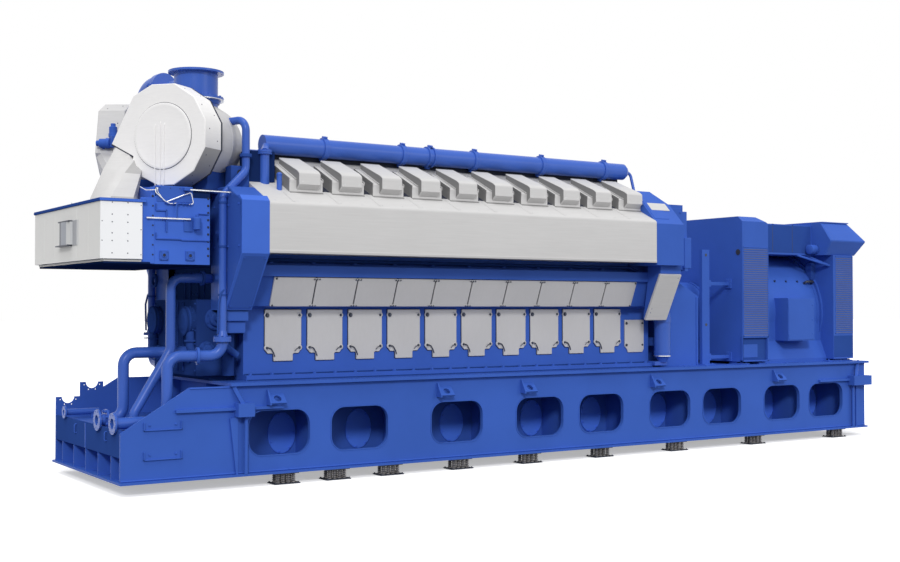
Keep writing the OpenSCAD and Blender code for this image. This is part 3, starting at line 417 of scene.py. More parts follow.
def finish(name, colour, rough, spread=0.06, grain=60.0, bump=0.15, stretch=(1, 1, 1), metal=0.0,
           specular=0.5, streaks=0.0):
    """A painted or metal finish: wide and fine noise vary its colour, sheen and surface."""
    tree, shader, make = nodes_of(name)
    where = make("ShaderNodeTexCoord").outputs["Object"]
    wide = make("ShaderNodeTexNoise", {"Vector": where, "Scale": 1.3, "Detail": 4.0})
    turned_to = make("ShaderNodeMapping", {"Vector": where, "Scale": stretch})
    fine = make("ShaderNodeTexNoise", {
        "Vector": turned_to.outputs["Vector"], "Scale": grain, "Detail": 5.0, "Roughness": 0.6,
    }).outputs["Fac"]

    def between(low, high):
        """The fine noise's middle part, spread over a range."""
        return make("ShaderNodeMapRange", {
            "Value": fine, "From Min": 0.3, "From Max": 0.7, "To Min": low, "To Max": high,
        }).outputs["Result"]

    ramp = make("ShaderNodeValToRGB", {"Fac": wide.outputs["Fac"]})
    for stop, place, factor in zip(
        ramp.color_ramp.elements, (0.3, 0.7), (1 - spread, 1 + spread)
    ):
        stop.position, stop.color = place, tuple(min(1.0, c * factor) for c in colour) + (1.0,)
    tone = ramp.outputs["Color"]
    if streaks:
        tone = make("ShaderNodeVectorMath", {0: tone, 1: between(1 - streaks, 1 + streaks)},
                    operation="MULTIPLY").outputs["Vector"]
    rise = make("ShaderNodeBump", {"Height": fine, "Strength": bump, "Distance": 0.002})
    for socket, value in (
        ("Base Color", tone), ("Roughness", between(rough - 0.05, rough + 0.06)),
        ("Normal", rise.outputs["Normal"]),
    ):
        tree.links.new(value, shader.inputs[socket])
    shader.inputs["Metallic"].default_value = metal
    shader.inputs["Specular IOR Level"].default_value = specular


# Settings that finishes share: blue paint, brushed sheet, that sheet painted in shade, and the
# hatch greys that paint light and shade.
BLUE = dict(grain=90, bump=0.06)
SHEET = dict(spread=0.03, grain=9, bump=0.1, stretch=(0.25, 1, 6))
SHADED = dict(SHEET, rough=0.6, specular=0.2)
HATCH = dict(rough=0.5, spread=0.04, grain=60, bump=0.08)

# Each finish: the name of a colour above or a colour itself, a factor for it, and settings.
FINISHES = {
    "blue_enamel": ("enamel", 1, dict(BLUE, rough=0.42, specular=0.06)),
    "blue_pipe": ("enamel", 1, dict(BLUE, rough=0.3, bump=0.03, specular=0.22)),
    # The next five blues are the enamel painted darker as shade or lighter as light, by their
    # factor.
    "blue_shade": ("enamel", 0.66, dict(BLUE, rough=0.45, specular=0.0)),
    "blue_cover": ("enamel", 1.75, dict(BLUE, rough=0.5, specular=0.1)),
    "blue_front": ("enamel", 1.3, dict(BLUE, rough=0.42, specular=0.06)),
    "rail_blue": ("enamel", 0.45, dict(BLUE, rough=0.5, bump=0.1, specular=0.0)),
    "navy": ("enamel", 0.2, dict(BLUE, rough=0.6, specular=0.0)),
    # Painted shade on the sheet: darker copies of the turbine and casing colours.
    "drum_shade": ("turbine", 0.4, SHADED),
    "leg_shade": ("casing", 0.72, SHADED),
    "shade_casing": ("casing", 0.42, SHADED),
    "grey_casing": ("casing", 1, dict(SHEET, rough=0.5, spread=0.02, bump=0.12, streaks=0.035)),
    "pale_casing": ("turbine", 1, dict(SHEET, rough=0.5, spread=0.02, streaks=0.02)),
    "pale_cover": (
        "cover", 1, dict(rough=0.42, spread=0.04, grain=30, bump=0.1, stretch=(1, 1, 0.3),
                         streaks=0.02, metal=0.15),
    ),
    "white_paint": ("duct", 1, dict(rough=0.4, spread=0.015, grain=70, bump=0.06)),
    # The duct's white painted in shade.
    "duct_shade": ("duct", 0.83, dict(rough=0.45, spread=0.015, grain=70, bump=0.06)),
    "slate_louver": ("louver", 1, dict(rough=0.6, spread=0.05, grain=80, bump=0.1)),
    "bright_steel": (
        (0.62, 0.63, 0.65), 1, dict(rough=0.28, spread=0.08, grain=120, bump=0.1,
                                    stretch=(1, 1, 5), metal=0.85),
    ),
    "dark_steel": (
        (0.035, 0.042, 0.065), 1, dict(rough=0.45, spread=0.2, grain=100, metal=0.3),
    ),
    "spring_steel": (
        (0.3, 0.28, 0.275), 1, dict(rough=0.5, spread=0.25, grain=60, bump=0.3, metal=0.2),
    ),
    # Hatch greys that paint light and shade across the hatch and its shadow.
    "hatch_dark": ((0.12, 0.13, 0.16), 1, HATCH),
    "hatch_grey": ((0.33, 0.35, 0.4), 1, HATCH),
    "hatch_pale": ((0.6, 0.61, 0.62), 1, HATCH),
    "hatch_shade": ((0.36, 0.37, 0.4), 1, HATCH),
    # Nearly black: real dark joints and bolts, and painted shade in gaps, holes and hollows.
    "dark_gap": ((0.012, 0.016, 0.035), 1, dict(rough=0.8, spread=0.1, grain=50, bump=0.05)),
}

# CAD nodes whose names start so take these finishes, and all others the blue enamel.
NODE_FINISHES = {
    "grey_casing": ("hot_box", "rocker_hoods", "exhaust_box"),
    "pale_casing": ("turbo_near", "turbo_far", "scroll_ducts"),
    # The cooler and free-end covers take the blue painted lighter as light; the stand, end plates
    # and pump case take it painted in shade.
    "blue_front": ("charge_cooler", "free_end_covers"),
    "blue_shade": ("turbo_stand", "pipe_end_plate", "base_end_plate"),
    "rail_blue": ("pump_case",),
    "blue_pipe": ("gas_pipes", "oil_filters", "vent_pipes", "water_pipes", "exhaust_outlet",
                  "exhaust_cross_duct"),
    "pale_cover": ("crankcase_covers", "camshaft_covers"),
    "white_paint": ("air_duct_box",),
}


class GENSET_OT_finishes(bpy.types.Operator):
    """Makes the paints and metals and gives each CAD node its finish"""

    bl_idname = "genset.finishes"
    bl_label = "Finishes"

    def execute(self, context):
        for name, (base, factor, settings) in FINISHES.items():
            if isinstance(base, str):
                base = getattr(context.scene.genset_colours, base)
            finish(name, [factor * c for c in base], **settings)
        for name, node in NODES.items():
            fits = [paint for paint, starts in NODE_FINISHES.items() if name.startswith(starts)]
            node.data.materials.clear()
            node.data.materials.append(bpy.data.materials[(fits + ["blue_enamel"])[0]])
        return {"FINISHED"}


# ---- From shapes to pieces ----

SHARP = math.radians(32)


def piece(shape, name, paints, stands_for=()):
    """Puts a shape into the frame as one object that rides on the part."""
    mesh = bpy.data.meshes.new(name)
    points = np.concatenate(shape.points) + np.array(START)
    mesh.from_pydata(points.tolist(), [], [face for f in shape.faces for face in f.tolist()])
    mesh.polygons.foreach_set("material_index", np.concatenate(shape.paints))
    mesh.polygons.foreach_set("use_smooth", [True] * len(mesh.polygons))
    mesh.set_sharp_from_angle(angle=SHARP)
    for paint in [paints] if isinstance(paints, str) else paints:
        mesh.materials.append(bpy.data.materials[paint])
    made = bpy.data.objects.new(name, mesh)
    bpy.context.scene.collection.objects.link(made)
    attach(made, "root")
    if stands_for:
        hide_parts(*stands_for)
    return made


def pair(shape, name, paints, stands_for=()):
    """The piece on the far side and its mirrored twin on the near side."""
    piece(shape, name + "_far", paints, [n + "_far" for n in stands_for])
    piece(shape.mirrored(), name + "_near", paints, [n + "_near" for n in stands_for])


# ---- Base frame ----

PAD_TALL = 0.13
PAD_PLACES = (0.112, 0.784, 1.523, 2.554, 3.657, 4.889, 6.28, 7.877, 9.704)
BASE_HALF = 1.234
LEDGE = 0.06
PAD_Y = 1.174
SOLE = FLOOR + 0.155
WALL_Y = 0.864
SIDE_TOP = -0.035


def coil(radius, wire, low, high, turns, steps=9, sides=5):
    """Spring: a helix that flattens at its ends, wound as a thin pipe."""
    t = np.linspace(0, 1, int(turns * steps) + 1)
    rise = low + (high - low) * np.clip((t * 1.16 - 0.08), 0, 1)
    turn = 2 * np.pi * turns * t
    line = np.stack([radius * np.cos(turn), radius * np.sin(turn), rise], 1)
    run = unit(np.gradient(line, axis=0))
    side = unit(np.cross(run, UP))
    lift = np.cross(run, side)
    around = 2 * np.pi * np.arange(sides) / sides
    ring = np.cos(around)[:, None] * side[:, None] + np.sin(around)[:, None] * lift[:, None]
    spring = Shape()
    loft(spring, line[:, None] + wire * ring)
    return spring


class GENSET_OT_spring_pads(bpy.types.Operator):
    """Spring pads: a floor plate, eight coil springs round their cores and a top plate"""

    bl_idname = "genset.spring_pads"
    bl_label = "Spring pads"

    def execute(self, context):
        shape, core = Shape(), Shape()
        top, foot = FLOOR + PAD_TALL, FLOOR + 0.012
        turned(core, [(0, 0.017), (PAD_TALL - 0.024, 0.017)], np.zeros(3), UP, 8)
        spring = coil(0.0235, 0.0052, 0.006, PAD_TALL - 0.03, 5)
        for x in PAD_PLACES:
            shape.paint = 0
            for wide, deep, low, high in (
                (0.165, 0.1075, FLOOR, foot), (0.15, 0.0975, top - 0.012, top)
            ):
                block(shape, (x - wide, PAD_Y - deep, low), (x + wide, PAD_Y + deep, high), 0.003)
            corners = [(x + a, PAD_Y + b, foot) for a in (-0.145, 0.145) for b in (-0.088, 0.088)]
            bolt_heads(shape, corners, UP, 0.018)
            feet = [(x + a * 0.066, PAD_Y + b, foot)
                    for a in (-1.5, -0.5, 0.5, 1.5) for b in (-0.045, 0.045)]
            for shape.paint, part in ((1, spring), (2, core)):
                shape.stamp(part, feet, np.eye(3))
        pair(shape, "spring_pad_sets", ["dark_steel", "spring_steel", "dark_steel"],
             ["spring_pads"])
        return {"FINISHED"}


WINDOW_PLACES = (0.028, 1.092, 2.498, 3.814, 4.872, 6.14, 7.173, 8.445, 9.44)
WINDOW_UP = SOLE + 0.447
GIRDER_Y = 0.585


def window_outline(grow, steps=9):
    """Round-cornered rectangle: four quarter circles joined by straight runs."""
    w, h, r = 0.4 + grow, 0.2675 + grow, 0.185 + grow
    turn = np.linspace(0, np.pi / 2, steps)
    quarter = np.stack([np.cos(turn), np.sin(turn)], 1) * r
    corners = []
    for k, (a, b) in enumerate([(1, 1), (-1, 1), (-1, -1), (1, -1)]):
        c, s = math.cos(k * math.pi / 2), math.sin(k * math.pi / 2)
        corners.append(quarter @ [[c, s], [-s, c]] + [a * (w - r), b * (h - r)])
    return np.concatenate(corners)


class GENSET_OT_base_details(bpy.types.Operator):
    """Base frame details: weld beads, window rims, step irons, foot bolts and girder covers"""

    bl_idname = "genset.base_details"
    bl_label = "Base frame details"

    def execute(self, context):
        shape = Shape()
        # Weld beads along the deck and the bottom flange.
        end = BANK + 4.76
        for start, z in ((-1.07, SIDE_TOP - 0.012), (-1.855, SOLE + 0.012)):
            for x in np.arange(start, end, 2.0):
                pipe(shape, [(x, BASE_HALF, z), (min(x + 1.995, end), BASE_HALF, z)], 0.011, 6)
        # A narrow rolled rim stands inside each window.
        outer, inner = window_outline(-0.001), window_outline(-0.012)
        for x in WINDOW_PLACES:
            rings = [
                (x, BASE_HALF + y, WINDOW_UP) + line[:, :1] * RIGHT + line[:, 1:] * UP
                for line, y in ((outer, -0.05), (outer, 0.006), (inner, 0.006), (inner, -0.05))
            ]
            shape.add(np.concatenate(rings), quads(4, len(outer), close_rows=True))
        pair(shape, "base_welds", "blue_enamel")

        # Step irons on the nose: an angle bar with turned-up ends.
        shape = Shape()
        x0, x1, face = -1.6, -1.16, BASE_HALF + 0.022
        for z in (-0.49, -0.812):
            blocks(
                shape, 0.002, ((x0, BASE_HALF, z), (x1, face, z + 0.01)),
                *[((x, BASE_HALF, z), (x + 0.012, face, z + 0.095)) for x in (x0, x1 - 0.012)],
            )
            places = [(x, BASE_HALF, z + 0.06) for x in (x0 + 0.07, x1 - 0.07)]
            bolt_heads(shape, places, OUT, 0.02)
        # Foot bolts of the crankcase and of the generator, along the deck.
        places = [(x, WALL_Y + 0.05, 0.062) for x in np.arange(-0.2, BANK + 0.4, 0.28)]
        bolt_heads(shape, places, UP, 0.036)
        places = [(x, BASE_HALF + LEDGE - 0.03, 0.0) for x in np.arange(6.4, 10.2, 0.42)]
        bolt_heads(shape, places, UP, 0.024)
        pair(shape, "base_bolts", "blue_enamel")

        # Shadow lines where the crankcase's foot meets its wall and the deck.
        shape = Shape()
        blocks(
            shape, 0.001,
            ((-0.26, WALL_Y - 0.002, 0.062), (BANK + 0.45, WALL_Y + 0.015, 0.075)),
            ((-0.26, WALL_Y + 0.093, 0.0), (BANK + 0.45, WALL_Y + 0.099, 0.013)),
        )
        pair(shape, "foot_seams", "rail_blue")

        # Oval covers with bolts on the inner girders, and the blocks over the spring pads, both
        # painted a lighter blue as painted light.
        shape = Shape()
        turn = np.linspace(0, 2 * np.pi, 28, endpoint=False)
        oval = np.stack([0.185 * np.cos(turn), 0.25 * np.sin(turn)], 1)
        for x in WINDOW_PLACES:
            at = np.array([x + 0.33, GIRDER_Y, WINDOW_UP - 0.08])
            plate(shape, oval, at, -RIGHT, UP, 0.016, 0.005)
            bolts = [at + [0.16 * math.cos(t), 0.016, 0.225 * math.sin(t)] for t in turn[::4]]
            bolt_heads(shape, bolts, OUT, 0.02)
        blocks(shape, 0.006, *[((x - 0.05, 1.03, SOLE), (x + 0.05, 1.12, SOLE + 0.07))
                               for x in PAD_PLACES])
        pair(shape, "girder_covers", "blue_cover")
        return {"FINISHED"}


# ---- Doors and covers ----

DOOR_FIRST = 0.239
DOOR_TOP = 0.833
DOOR_H = 0.478
DOOR_HALF = 0.239
NECK_HALF = 0.127
NECK_DROP = 0.614
DOOR_T = 0.02


def door_outline():
    """A door with cut corners that narrows to a neck, from its middle and top."""
    right = [
        (DOOR_HALF - 0.006, 0.0), (DOOR_HALF, -0.006), (DOOR_HALF, -DOOR_H),
        (DOOR_HALF - 0.04, -DOOR_H - 0.045), (NECK_HALF + 0.012, -DOOR_H - 0.045),
        (NECK_HALF, -DOOR_H - 0.057), (NECK_HALF, -NECK_DROP + 0.006),
        (NECK_HALF - 0.006, -NECK_DROP),
    ]
    return right + [(-a, b) for a, b in right[::-1]]


class GENSET_OT_doors(bpy.types.Operator):
    """Crankcase doors: plates on gaskets, with corner bolts on lugs and a clip by the neck"""

    bl_idname = "genset.doors"
    bl_label = "Crankcase doors"

    def execute(self, context):
        shape, fittings = Shape(), Shape()
        lugs = [(a * (DOOR_HALF - 0.027), b) for a in (-1, 1) for b in (-0.068, -DOOR_H + 0.022)]
        clips = (
            ([(-0.212, 0.034, -0.452), (-0.165, 0.036, -0.462), (-0.128, 0.032, -0.52),
              (-0.112, 0.026, -0.56)], 0.04, 0.007),
            ([(0.212, 0.034, -0.452), (0.17, 0.034, -0.47), (0.15, 0.026, -0.5)], 0.02, 0.004),
        )
        for k in range(CYLINDERS):
            origin = np.array([DOOR_FIRST + k * PITCH, WALL_Y, DOOR_TOP])
            plate(shape, door_outline(), origin, -RIGHT, UP, DOOR_T, 0.004)
            shape.paint = 1
            plate(shape, inset(door_outline(), -0.006), origin, -RIGHT, UP, 0.007, 0.001)
            shape.paint = 0
            for a, b in lugs:
                turned(shape, [(0.004, 0.036), (DOOR_T + 0.001, 0.036), (DOOR_T + 0.004, 0.031)],
                       origin + [a, 0, b], OUT, 20)
            places = [origin + [a, DOOR_T + 0.004, b] for a, b in lugs]
            bolt_heads(fittings, places[:1], OUT, 0.034)
            bolt_heads(fittings, places[1:], OUT, 0.022)
            for corners, bend, radius in clips:
                pipe(fittings, origin + bent(corners, bend), radius, 6)
        # The short door past the last cylinder.
        low = [(5.60, 0.30), (5.64, 0.262), (5.66, 0.215), (5.93, 0.215), (5.96, 0.262),
               (5.96, 0.68), (5.60, 0.68)]
        plate(shape, [(-a, b) for a, b in low], (0, WALL_Y, 0), -RIGHT, UP, DOOR_T, 0.004)
        for x, across in ((5.63, 0.026), (5.93, 0.02)):
            bolt_heads(fittings, [(x, WALL_Y + DOOR_T, z) for z in (0.32, 0.63)], OUT, across)
        pair(shape, "crankcase_doors", ["pale_cover", "dark_gap"],
             ["crankcase_covers"])
        pair(fittings, "door_bolts", "dark_steel")
        return {"FINISHED"}


SLOPE_LOW = np.array([0.0, 1.024, 0.875])
SLOPE_HIGH = np.array([0.0, 1.164, 1.22])


class GENSET_OT_camshaft_covers(bpy.types.Operator):
    """Camshaft covers on the sloping wall, with straps over the joints and their bolts"""

    bl_idname = "genset.camshaft_covers"
    bl_label = "Camshaft covers"

    def execute(self, context):
        shape, fittings = Shape(), Shape()
        rise = unit(SLOPE_HIGH - SLOPE_LOW)
        tall = float(np.linalg.norm(SLOPE_HIGH - SLOPE_LOW))
        face = np.cross(-RIGHT, rise)
        outline = rectangle(-(PITCH - 0.018), 0.002, 0, tall - 0.002, 0.006)
        strap = rectangle(-0.055, 0.0, 0.055, 0.02, 0.004)

        def on_cover(x, share):
            """Place on the covers' faces, at a share of the slope's length."""
            return SLOPE_LOW + rise * tall * share + face * 0.022 + [x, 0, 0]

        for k in range(CYLINDERS):
            x = COVER_START + k * PITCH
            joint = x + PITCH - COVER_GAP / 2
            last = k == CYLINDERS - 1
            plate(shape, outline, SLOPE_LOW + [x, 0, 0], -RIGHT, rise, 0.022, 0.003)
            bolts = [] if k else [x + 0.03]
            bolts += [x + PITCH - 0.04] if last else [joint + d for d in (-0.034, 0, 0.034)]
            fittings.paint = 0
            for share, across in ((0.04, 0.016), (0.95, 0.018)):
                bolt_heads(fittings, [on_cover(at, share) for at in bolts], face, across)
            fittings.paint = 1
            for share in () if last else (0.03, 0.935):
                plate(fittings, strap, on_cover(joint, share), -RIGHT, rise, 0.005, 0.001)
        # A dark plate behind the covers, painted as the shade in the gaps between them.
        shape.paint = 1
        back = rectangle(-(BANK - 0.02), 0.004, 0, tall - 0.004)
        plate(shape, back, SLOPE_LOW + [COVER_START + 0.004, 0, 0], -RIGHT, rise, 0.006, 0.001)
        pair(shape, "camshaft_plates", ["pale_cover", "dark_gap"],
             ["camshaft_covers"])
        pair(fittings, "camshaft_bolts", ["dark_steel", "pale_cover"])
        return {"FINISHED"}


# ---- Hot boxes, hoods and exhaust box ----

HOT_X0, HOT_X1 = -0.268, BANK - 0.02
HOT_HALF = 1.584
HOT_LOW, HOT_FOLD = 1.475, 2.05
NECK_Y = 0.984
BOX_Y = 0.7
RISE = math.tan(math.radians(25))


def roof(y):
    """Height of the hot box roof at a distance from the middle."""
    return HOT_FOLD + (HOT_HALF - y) * RISE


def fold(corner, before, after, radius, steps=5):
    """Points of a rounded fold between two directions at a corner of a profile."""
    corner = np.array(corner)
    t = np.linspace(0, 1, steps)[:, None]
    a, b = corner + radius * unit(before), corner + radius * unit(after)
    return ((1 - t) ** 2 * a + 2 * t * (1 - t) * corner + t**2 * b).tolist()


class GENSET_OT_hot_boxes(bpy.types.Operator):
    """Insulated boxes over the banks: folded sheet with a hem, seams and screws"""

    bl_idname = "genset.hot_boxes"
    bl_label = "Hot boxes"

    def execute(self, context):
        shape = Shape()
        edge, low = HOT_HALF, HOT_LOW
        outline = [
            (NECK_Y, low + 0.012), (edge - 0.012, low + 0.012), (edge - 0.012, low),
            (edge - 0.002, low), (edge, low + 0.004), (edge, low + 0.03),
            (edge - 0.003, low + 0.034),
        ]
        outline += fold((edge - 0.003, HOT_FOLD), (0, -1), (-1, RISE), 0.03)
        outline += [(BOX_Y, roof(BOX_Y)), (BOX_Y, 1.99), (NECK_Y, 1.99)]
        beam(shape, outline, HOT_X0, HOT_X1 - HOT_X0, 0.003)
        # Lapped sheet joints across the roof, between the hoods.
        slope = unit([0, 1, -RISE])
        for x in [0.06] + [0.078 + k * PITCH for k in range(1, CYLINDERS)]:
            origin = (x, edge - 0.02, roof(edge - 0.02))
            flat = rectangle(-0.014, 0.02, 0.014, 0.9, 0.002)
            plate(shape, flat, origin, -RIGHT, -slope, 0.002, 0.0005)
        pair(shape, "hot_box_casing", "grey_casing", ["hot_box"])
        # Dark screen that closes the free end between the roof and the gas pipes: a block painted
        # as shadow, and next to it a block painted in shade with a hole painted dark.
        shade_screen = Shape()
        for shade_screen.paint, low, high in (
            (0, (-0.262, 0.72, 2.3), (0.075, 0.985, 2.70)),
            (1, (-0.5, 0.86, 2.24), (-0.272, 1.03, 2.50)),
        ):
            block(shade_screen, low, high, 0.006)
        shade_screen.paint = 2
        button(shade_screen, 0.036, 0.002, (-0.39, 1.03, 2.42), OUT, 24)
        pair(shade_screen, "free_end_shield", ["navy", "blue_shade", "dark_gap"])
        screws = Shape()
        for y, z, normal, radius in (
            (edge - 0.06, roof(edge - 0.06), (0, RISE, 1), 0.006),
            (edge - 0.003, HOT_LOW + 0.017, OUT, 0.005),
        ):
            places = [(x, y, z) for x in np.arange(HOT_X0 + 0.1, HOT_X1, 0.28)]
            rivets(screws, places, normal, radius)
        pair(screws, "hot_box_screws", "bright_steel")
        return {"FINISHED"}


HOOD_FIRST = 0.142
TRAY_W, TRAY_Y, TRAY_H = 0.435, 1.244, 0.155
HOOD_W, HOOD_Y, HOOD_BACK, HOOD_IN = 0.28, 1.324, 0.76, 0.088


class GENSET_OT_rocker_hoods(bpy.types.Operator):
    """Rocker hoods: a tray with a raised border and a narrower sloping hood in each"""

    bl_idname = "genset.rocker_hoods"
    bl_label = "Rocker hoods"

    def execute(self, context):
        one, screws = Shape(), Shape()
        base, back = roof(TRAY_Y), roof(HOOD_BACK)
        front, rear, inside = TRAY_Y, HOOD_BACK, HOOD_IN
        tray = [
            (front, base - 0.01), (front, base + TRAY_H - 0.012), (front - 0.012, base + TRAY_H),
            (rear, back + TRAY_H), (rear, back - 0.01),
        ]
        beam(one, tray, 0, TRAY_W, 0.006)

        def band(out, low, high):
            """Outline of a strip along the tray's sloping top."""
            return [(front + out, base + low), (front + out, base + high), (rear, back + high),
                    (rear, back + low)]

        for x in (-0.004, TRAY_W - 0.006):
            beam(one, band(0.006, TRAY_H - 0.03, TRAY_H + 0.008), x, 0.01, 0.002)
        crest, nose = (HOOD_Y - 0.06, base + 0.262), (HOOD_Y, base + 0.225)
        towards = (rear - crest[0], back + 0.23 - crest[1])
        hood = [(front, base + 0.03), (HOOD_Y, base + 0.09)]
        hood += fold(nose, (0, -1), (-60, 37), 0.018) + fold(crest, (60, -37), towards, 0.02)
        hood += [(rear, back + 0.23), (rear, back + 0.03)]
        beam(one, hood, inside, HOOD_W, 0.008)
        # A flat border where the hood meets its tray.
        beam(one, band(0.002, TRAY_H + 0.001, TRAY_H + 0.006), inside - 0.02, HOOD_W + 0.04, 0.001)
        places = [(x, y, roof(y) + TRAY_H + 0.006)
                  for x in (inside - 0.011, inside + HOOD_W + 0.011)
                  for y in np.linspace(0.84, 1.2, 4)]
        rivets(screws, places, (0, RISE, 1), 0.006)
        places = [(inside + a * HOOD_W, HOOD_Y - 0.0005, base + 0.12) for a in (0.15, 0.85)]
        rivets(screws, places, OUT, 0.006)
        # Both flanks of each tray and hood painted in shade.
        for direction in (-RIGHT, RIGHT):
            one.paint_facing(direction, 1)
        # A shadow line along the foot of the tray's front.
        one.paint = 1
        line = [(front - 0.002, base - 0.008), (front + 0.02, base - 0.017),
                (front + 0.02, base - 0.003), (front - 0.002, base + 0.008)]
        plate(one, line, np.zeros(3), OUT, UP, TRAY_W, 0.001)
        # Dark strips on the roof between the trays, painted as the shade in the gaps between the
        # hoods.
        one.paint = 2
        at = front - 0.05
        strip = [(at, roof(at) + 0.001), (at, roof(at) + 0.004), (rear, back + 0.004),
                 (rear, back + 0.001)]
        plate(one, strip, (TRAY_W + 0.004, 0, 0), OUT, UP, PITCH - TRAY_W - 0.01, 0.0005)
        hoods, heads = Shape(), Shape()
        spots = [(HOOD_FIRST + k * PITCH, 0, 0) for k in range(CYLINDERS)]
        hoods.stamp(one, spots, np.eye(3))
        heads.stamp(screws, spots, np.eye(3))
        pair(hoods, "rocker_hood_casing", ["grey_casing", "shade_casing", "dark_gap"],
             ["rocker_hoods"])
        pair(heads, "rocker_hood_screws", "bright_steel")
        return {"FINISHED"}


# ---- Gas pipes and exhaust box ----

GAS_Y, GAS_Z, GAS_R = 0.684, 2.82, 0.116
GAS_X0, GAS_X1 = 0.046, BANK + 0.13
PURGE_X = 2.412
COLLARS = tuple(0.872 + k * 2 * PITCH for k in range(5))


class GENSET_OT_gas_pipe_fittings(bpy.types.Operator):
    """Gas pipe fittings: collars with ears, end caps, dark screens painted as shade and the
    exhaust box lids
    """

    bl_idname = "genset.gas_pipe_fittings"
    bl_label = "Gas pipe fittings"

    def execute(self, context):
        shape = Shape()
        outer = GAS_R + 0.019
        section = [(-0.012, GAS_R - 0.002), (0.012, GAS_R - 0.002), (0.012, outer - 0.003),
                   (0.009, outer), (-0.009, outer), (-0.012, outer - 0.003)]
        for x in COLLARS + (PURGE_X,):
            wide = 0.04 if x == PURGE_X else 0.022
            for dx in (-wide, wide):
                ring_of(shape, section, (x + dx, GAS_Y, GAS_Z), RIGHT)
            for turn in np.radians((75, 255)):
                lift = np.array([0, math.cos(turn), math.sin(turn)])
                side = np.array([0, -math.sin(turn), math.cos(turn)])
                place = (x, GAS_Y, GAS_Z) + lift * (GAS_R + 0.01)
                ear = rectangle(-0.028, -0.03, 0.028, 0.03, 0.006)
                plate(shape, ear, place, RIGHT, np.cross(lift, RIGHT), 0.03, 0.003)
                bolt = place + lift * 0.018
                straight(shape, bolt - side * 0.045, bolt + side * 0.045, 0.008, 8)
        # End cap: a dished plate, a round nut and the elbow that goes down from it.
        end = GAS_X1 + 0.05
        turned(shape, [(0, 0.03), (0.02, 0.03), (0.026, 0.024), (0.026, 0)],
               (end, GAS_Y, GAS_Z), RIGHT, 12)
        elbow = [(end + 0.01, GAS_Y, GAS_Z), (end + 0.1, GAS_Y, GAS_Z),
                 (end + 0.1, GAS_Y + 0.1, 2.5)]
        pipe(shape, bent(elbow, 0.07), 0.022, 12)
        # Dark screen under the pipe, between it and the hoods: a sheet painted as the shade in the
        # valley between them.
        shade_screen = Shape()
        block(shade_screen, (GAS_X0 + 0.02, GAS_Y - 0.09, 2.5),
              (GAS_X1 - 0.02, GAS_Y - 0.08, GAS_Z - 0.02), 0.001)
        pair(shade_screen, "gas_pipe_shields", "dark_gap")
        # The purge branch's flange and the small stub next to it.
        top = (-0.058, 0.984, GAS_Z - GAS_R)
        collar = [(-0.046, 0.07), (-0.044, 0.086), (-0.026, 0.088), (-0.024, 0.07)]
        turned(shape, collar, top, UP, 32)
        bolt_circle(shape, top, UP, 0.072, 8, 0.018)
        turned(shape, [(0, 0.036), (0.012, 0.036), (0.014, 0.03), (0.03, 0.02), (0.03, 0)],
               (0.038, 1.184, roof(1.184) + 0.168), UP, 20)
        pair(shape, "gas_pipe_fittings", "blue_pipe")

        lids = Shape()
        for k in range(CYLINDERS // 2):
            x = -0.08 + k * 2 * PITCH
            block(lids, (x + 0.02, -0.52, 2.679), (x + 2 * PITCH - 0.02, 0.52, 2.69), 0.004)
            places = [(x + a, b, 2.69) for a in (0.08, 0.56, 1.04) for b in (-0.48, 0.48)]
            rivets(lids, places, UP, 0.012)
        piece(lids, "exhaust_box_lids", "grey_casing")
        return {"FINISHED"}


# ---- Turbochargers ----

YAW = math.radians(35)
TURBO = np.array([-1.295, 0.964, 2.787])
ALONG = np.array([math.cos(YAW), -math.sin(YAW), 0.0])
INWARD = np.array([-math.sin(YAW), -math.cos(YAW), 0.0])
DRUM_R = 0.575
DRUM_L = 0.33
DISC_R = 0.384
REAR_R = 0.49
REAR_END = DRUM_L + 0.74
# Corners of the casings in shares of the drum's radius, and the corner where the duct starts.
SEAM = 4
DRUM = np.array([
    (-0.26, -0.965), (0.12, -0.965), (0.5, -0.78), (0.73, -0.55), (0.7, -0.37), (1.217, -0.104),
    (0.708, 0.826), (0.27, 1.03), (-0.261, 1.017), (-0.708, 0.73), (-0.965, 0.278),
    (-0.965, -0.26), (-0.708, -0.708),
]) * DRUM_R
FAR_DRUM = DRUM.copy()
FAR_DRUM[1:6] = DRUM_R * np.array([
    (0.165, -0.965), (0.32, -0.81), (0.47, -0.658), (0.623, -0.504), (0.93, -0.104),
])


def drum(a, b, s):
    """Place on a drum: towards the middle of the set, up, and along the turbocharger's axis."""
    return TURBO + a * INWARD + b * UP + s * ALONG


def outward(a, b):
    """Direction square to a drum's flat from a to b, away from its middle."""
    return unit([(b - a)[1], -(b - a)[0]])


